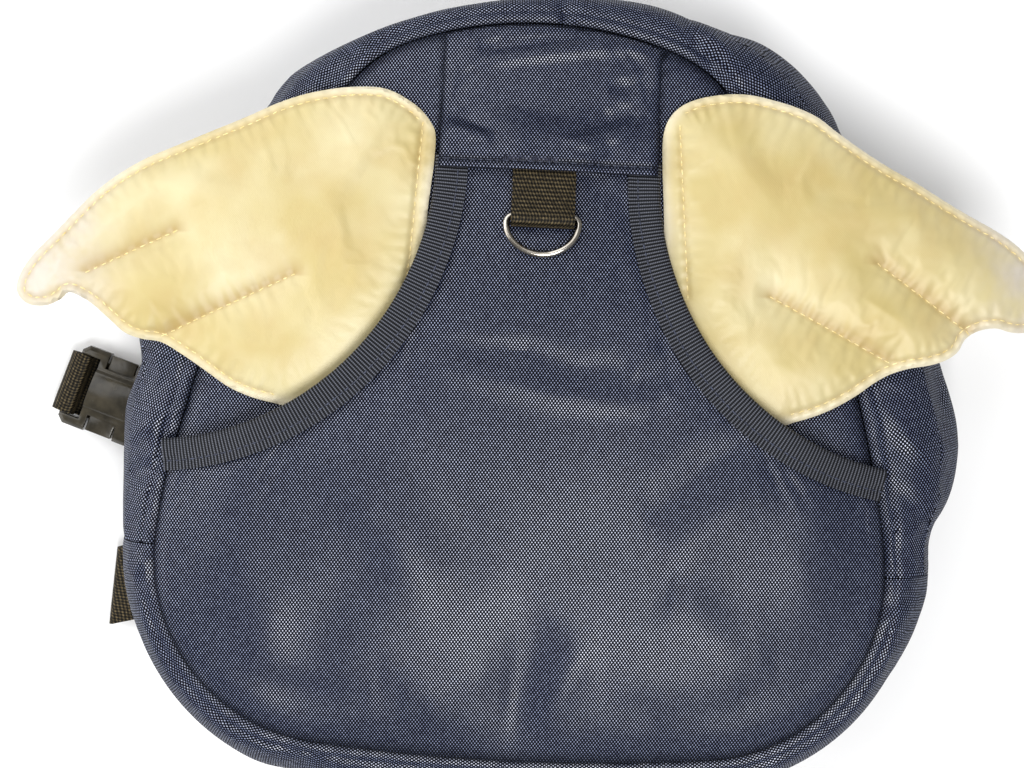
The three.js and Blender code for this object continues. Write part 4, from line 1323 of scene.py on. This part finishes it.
def raise_plate(obj):
    crown = np.linspace(0, PLATE_EDGE, PLATE_CUTS, endpoint=False)[1:]
    step = np.linspace(PLATE_EDGE, PLATE_FOOT, PLATE_CUTS)
    for sign in (-1, 1):
        for cut in (*crown, *step):
            with editing(obj):
                place = buckle_middle + sign * cut * ACROSS
                bpy.ops.mesh.bisect(plane_co=place, plane_no=ACROSS)
    points = points_of(obj)
    aside = np.abs((points - buckle_middle) @ ACROSS)
    drop = PLATE_CROWN * np.clip(aside / PLATE_EDGE, 0, 1) ** 2
    drop += (PLATE_RISE - PLATE_CROWN) * rise(aside, PLATE_EDGE, PLATE_FOOT)
    points[:, 2] -= np.where(points[:, 2] > buckle_high[2] - PLATE_RISE, drop, 0)
    put_points(obj, points)


for node in ("buckle_socket", "buckle_plug"):
    half = copy_of(node, node + "_moulded")
    with editing(half):
        bpy.ops.mesh.dissolve_limited(angle_limit=FLAT_ANGLE)
    if node == "buckle_socket":
        raise_plate(half)
    apply(half, "BEVEL", width=MOULD_EDGE, segments=3, limit_method="ANGLE", angle_limit=MOULD_ANGLE)
    lay_flat(half)
    hand_in(half, node, PLASTIC)

# %% [markdown]
# Thread shows on every topstitched edge. One stitch is a small flattened ball of a few dozen faces,
# modelled once. Rows of copies are set on the cloth, each found by a ray cast down onto it and turned
# to lie along its line. A stitch's length, width and height and the pitch of a row are in millimetres.
# The wings have cream thread.

# %% Stitches on the wings
def stitch_shape():
    bpy.ops.object.select_all(action="DESELECT")
    bpy.ops.mesh.primitive_uv_sphere_add(segments=6, ring_count=5, radius=0.5)
    ball = bpy.context.active_object
    shape = points_of(ball)[:, [2, 0, 1]]
    faces = [list(p.vertices) for p in ball.data.polygons]
    bpy.data.objects.remove(ball)
    return shape, faces


STITCH, STITCH_FACES = stitch_shape()


def thread(name, dark, light):
    finish, shader, s = new_finish(name)
    twist = s.noise(1500, 2)
    feed(shader, base_color=twist.between(0.35, 0.65).mix(dark, light), roughness=twist * 0.2 + 0.45)
    return finish


CREAM_THREAD = thread("cream_thread", srgb(222, 198, 128), srgb(246, 232, 176))


def sew(name, lines, cloth, node, finish, size, pitch):
    tree = faces_of(cloth)
    points, faces = [], []
    size = np.array(size) * MM
    down = Vector((0, 0, -1))
    for line in lines:
        spots = evenly(line, pitch * MM)
        for (x, y), ahead in zip(spots, np.gradient(spots, axis=0)):
            hit, normal, _, _ = tree.ray_cast(Vector((x, y, CLEAR_OF_BAG)), down)
            if hit is None:
                continue
            ahead = Vector((*ahead, 0))
            ahead = (ahead - normal * ahead.dot(normal)).normalized()
            turn = np.array((ahead, normal.cross(ahead), normal)) * size[:, None]
            base = len(points) * len(STITCH)
            points.append(STITCH @ turn + np.array(hit))
            faces += [[base + v for v in face] for face in STITCH_FACES]
    obj = sheet_of(name, np.vstack(points), np.array(faces, dtype=object))
    hand_in(obj, node, finish)


for side, (obj, lines) in wings.items():
    sew(
        f"wing_stitches_{side}", lines, obj, f"wing_{side}",
        CREAM_THREAD, size=(2.0, 0.4, 0.34), pitch=2.7,
    )

# %% [markdown]
# The tapes and the yoke's hem are sewn in dark thread. Over the ring tab the hem has a bar tack, a
# dense row of short stitches set crosswise, which takes the pull of the tab.

# %% Stitches on the tapes and the hem
NAVY_THREAD = thread("navy_thread", srgb(24, 27, 40), srgb(66, 72, 92))
TACK_THREAD = thread("tack_thread", srgb(10, 12, 26), srgb(32, 38, 66))
TAPE_TURNS = (2, -84)
TAPE_TURN_STEPS = 173
TACK_ABOVE = 3.2 * MM
TACK_FROM = -3 * MM
TACK_TO = 13 * MM

for side, sign in SIDES:
    turn = np.radians(np.linspace(*TAPE_TURNS, TAPE_TURN_STEPS))
    arc = on_arc(MOUTH_RADIUS + TAPE_STITCH, turn, sign)
    sew(
        f"tape_stitches_{side}", [arc], tapes[side], f"pocket_binding_{side}",
        NAVY_THREAD, size=(1.9, 0.5, 0.4), pitch=2.5,
    )
tab_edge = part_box("ring_tab")[0].x
tack_line = [(tab_edge + x, hem_y + TACK_ABOVE) for x in (TACK_FROM, TACK_TO)]
for name, line, finish, size, pitch in (
    ("hem_stitches", hem_line, NAVY_THREAD, (2, 0.5, 0.4), 2.5),
    ("bar_tack", tack_line, TACK_THREAD, (0.4, 1.9, 0.4), 0.55),
):
    sew(name, [line], yoke, "front_yoke", finish, size, pitch)

# %% [markdown]
# The bag lies on a plain pale floor under soft studio light. A lamp like a window, low in the picture,
# gives the cloth its sheen, a broad one fills the shade, and a low one at the left reaches the wall
# and the buckle. Each has a place and a size in metres and a power in watts. The camera looks
# straight down, turned a little, as in the photograph.

# %% Floor, light and camera
FLOOR_SIZE = 6
FLOOR_DROP = 0.2 * MM
AIM = Vector((0, 0, 50 * MM))
WORLD_LIGHT = 0.27
WHITE = (1, 1, 1, 1)
LIGHTS = (
    ("window", (0.18, -0.5, 1.15), 0.55, 13),
    ("fill", (-0.5, 0.65, 0.95), 1.2, 9),
    ("side", (-1.0, 0.05, 0.5), 0.7, 5),
)
CAMERA_PLACE = (-4.92 * MM, -1.29 * MM, 675 * MM)
CAMERA_TURN = math.radians(2.7)
CAMERA_VIEW = math.radians(28.6)

bpy.ops.object.select_all(action="DESELECT")
bpy.ops.mesh.primitive_plane_add(size=FLOOR_SIZE, location=(0, 0, -FLOOR_DROP))
floor = bpy.context.active_object
floor.name = "floor"
floor.data.materials.append(new_finish("floor", base_color=(0.97, 0.97, 0.97, 1), roughness=0.9)[0])
floor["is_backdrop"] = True

for name, place, size, power in LIGHTS:
    lamp = bpy.data.lights.new(name, "AREA")
    lamp.size = size
    lamp.energy = power
    holder = bpy.data.objects.new(name, lamp)
    holder.location = place
    holder.rotation_euler = (AIM - Vector(place)).to_track_quat("-Z", "Y").to_euler()
    bpy.context.scene.collection.objects.link(holder)
    holder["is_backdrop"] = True

world = bpy.data.worlds.new("studio")
world.use_nodes = True
world.node_tree.nodes["Background"].inputs[0].default_value = WHITE
world.node_tree.nodes["Background"].inputs[1].default_value = WORLD_LIGHT
bpy.context.scene.world = world
bpy.context.scene.view_settings.view_transform = "Standard"

camera = bpy.data.cameras.new("camera")
camera.sensor_fit = "HORIZONTAL"
camera.angle = CAMERA_VIEW
viewer = bpy.data.objects.new("camera", camera)
viewer.location = CAMERA_PLACE
viewer.rotation_euler = (0, 0, CAMERA_TURN)
bpy.context.scene.collection.objects.link(viewer)
bpy.context.scene.camera = viewer
print("floor,", len(LIGHTS), "lamps and a camera")

# %% The sizes of the frame and the dressed bag
size = {"cad": [list(p) for p in cad_box], "visual": [list(p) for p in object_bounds()]}
print("sizes", size)
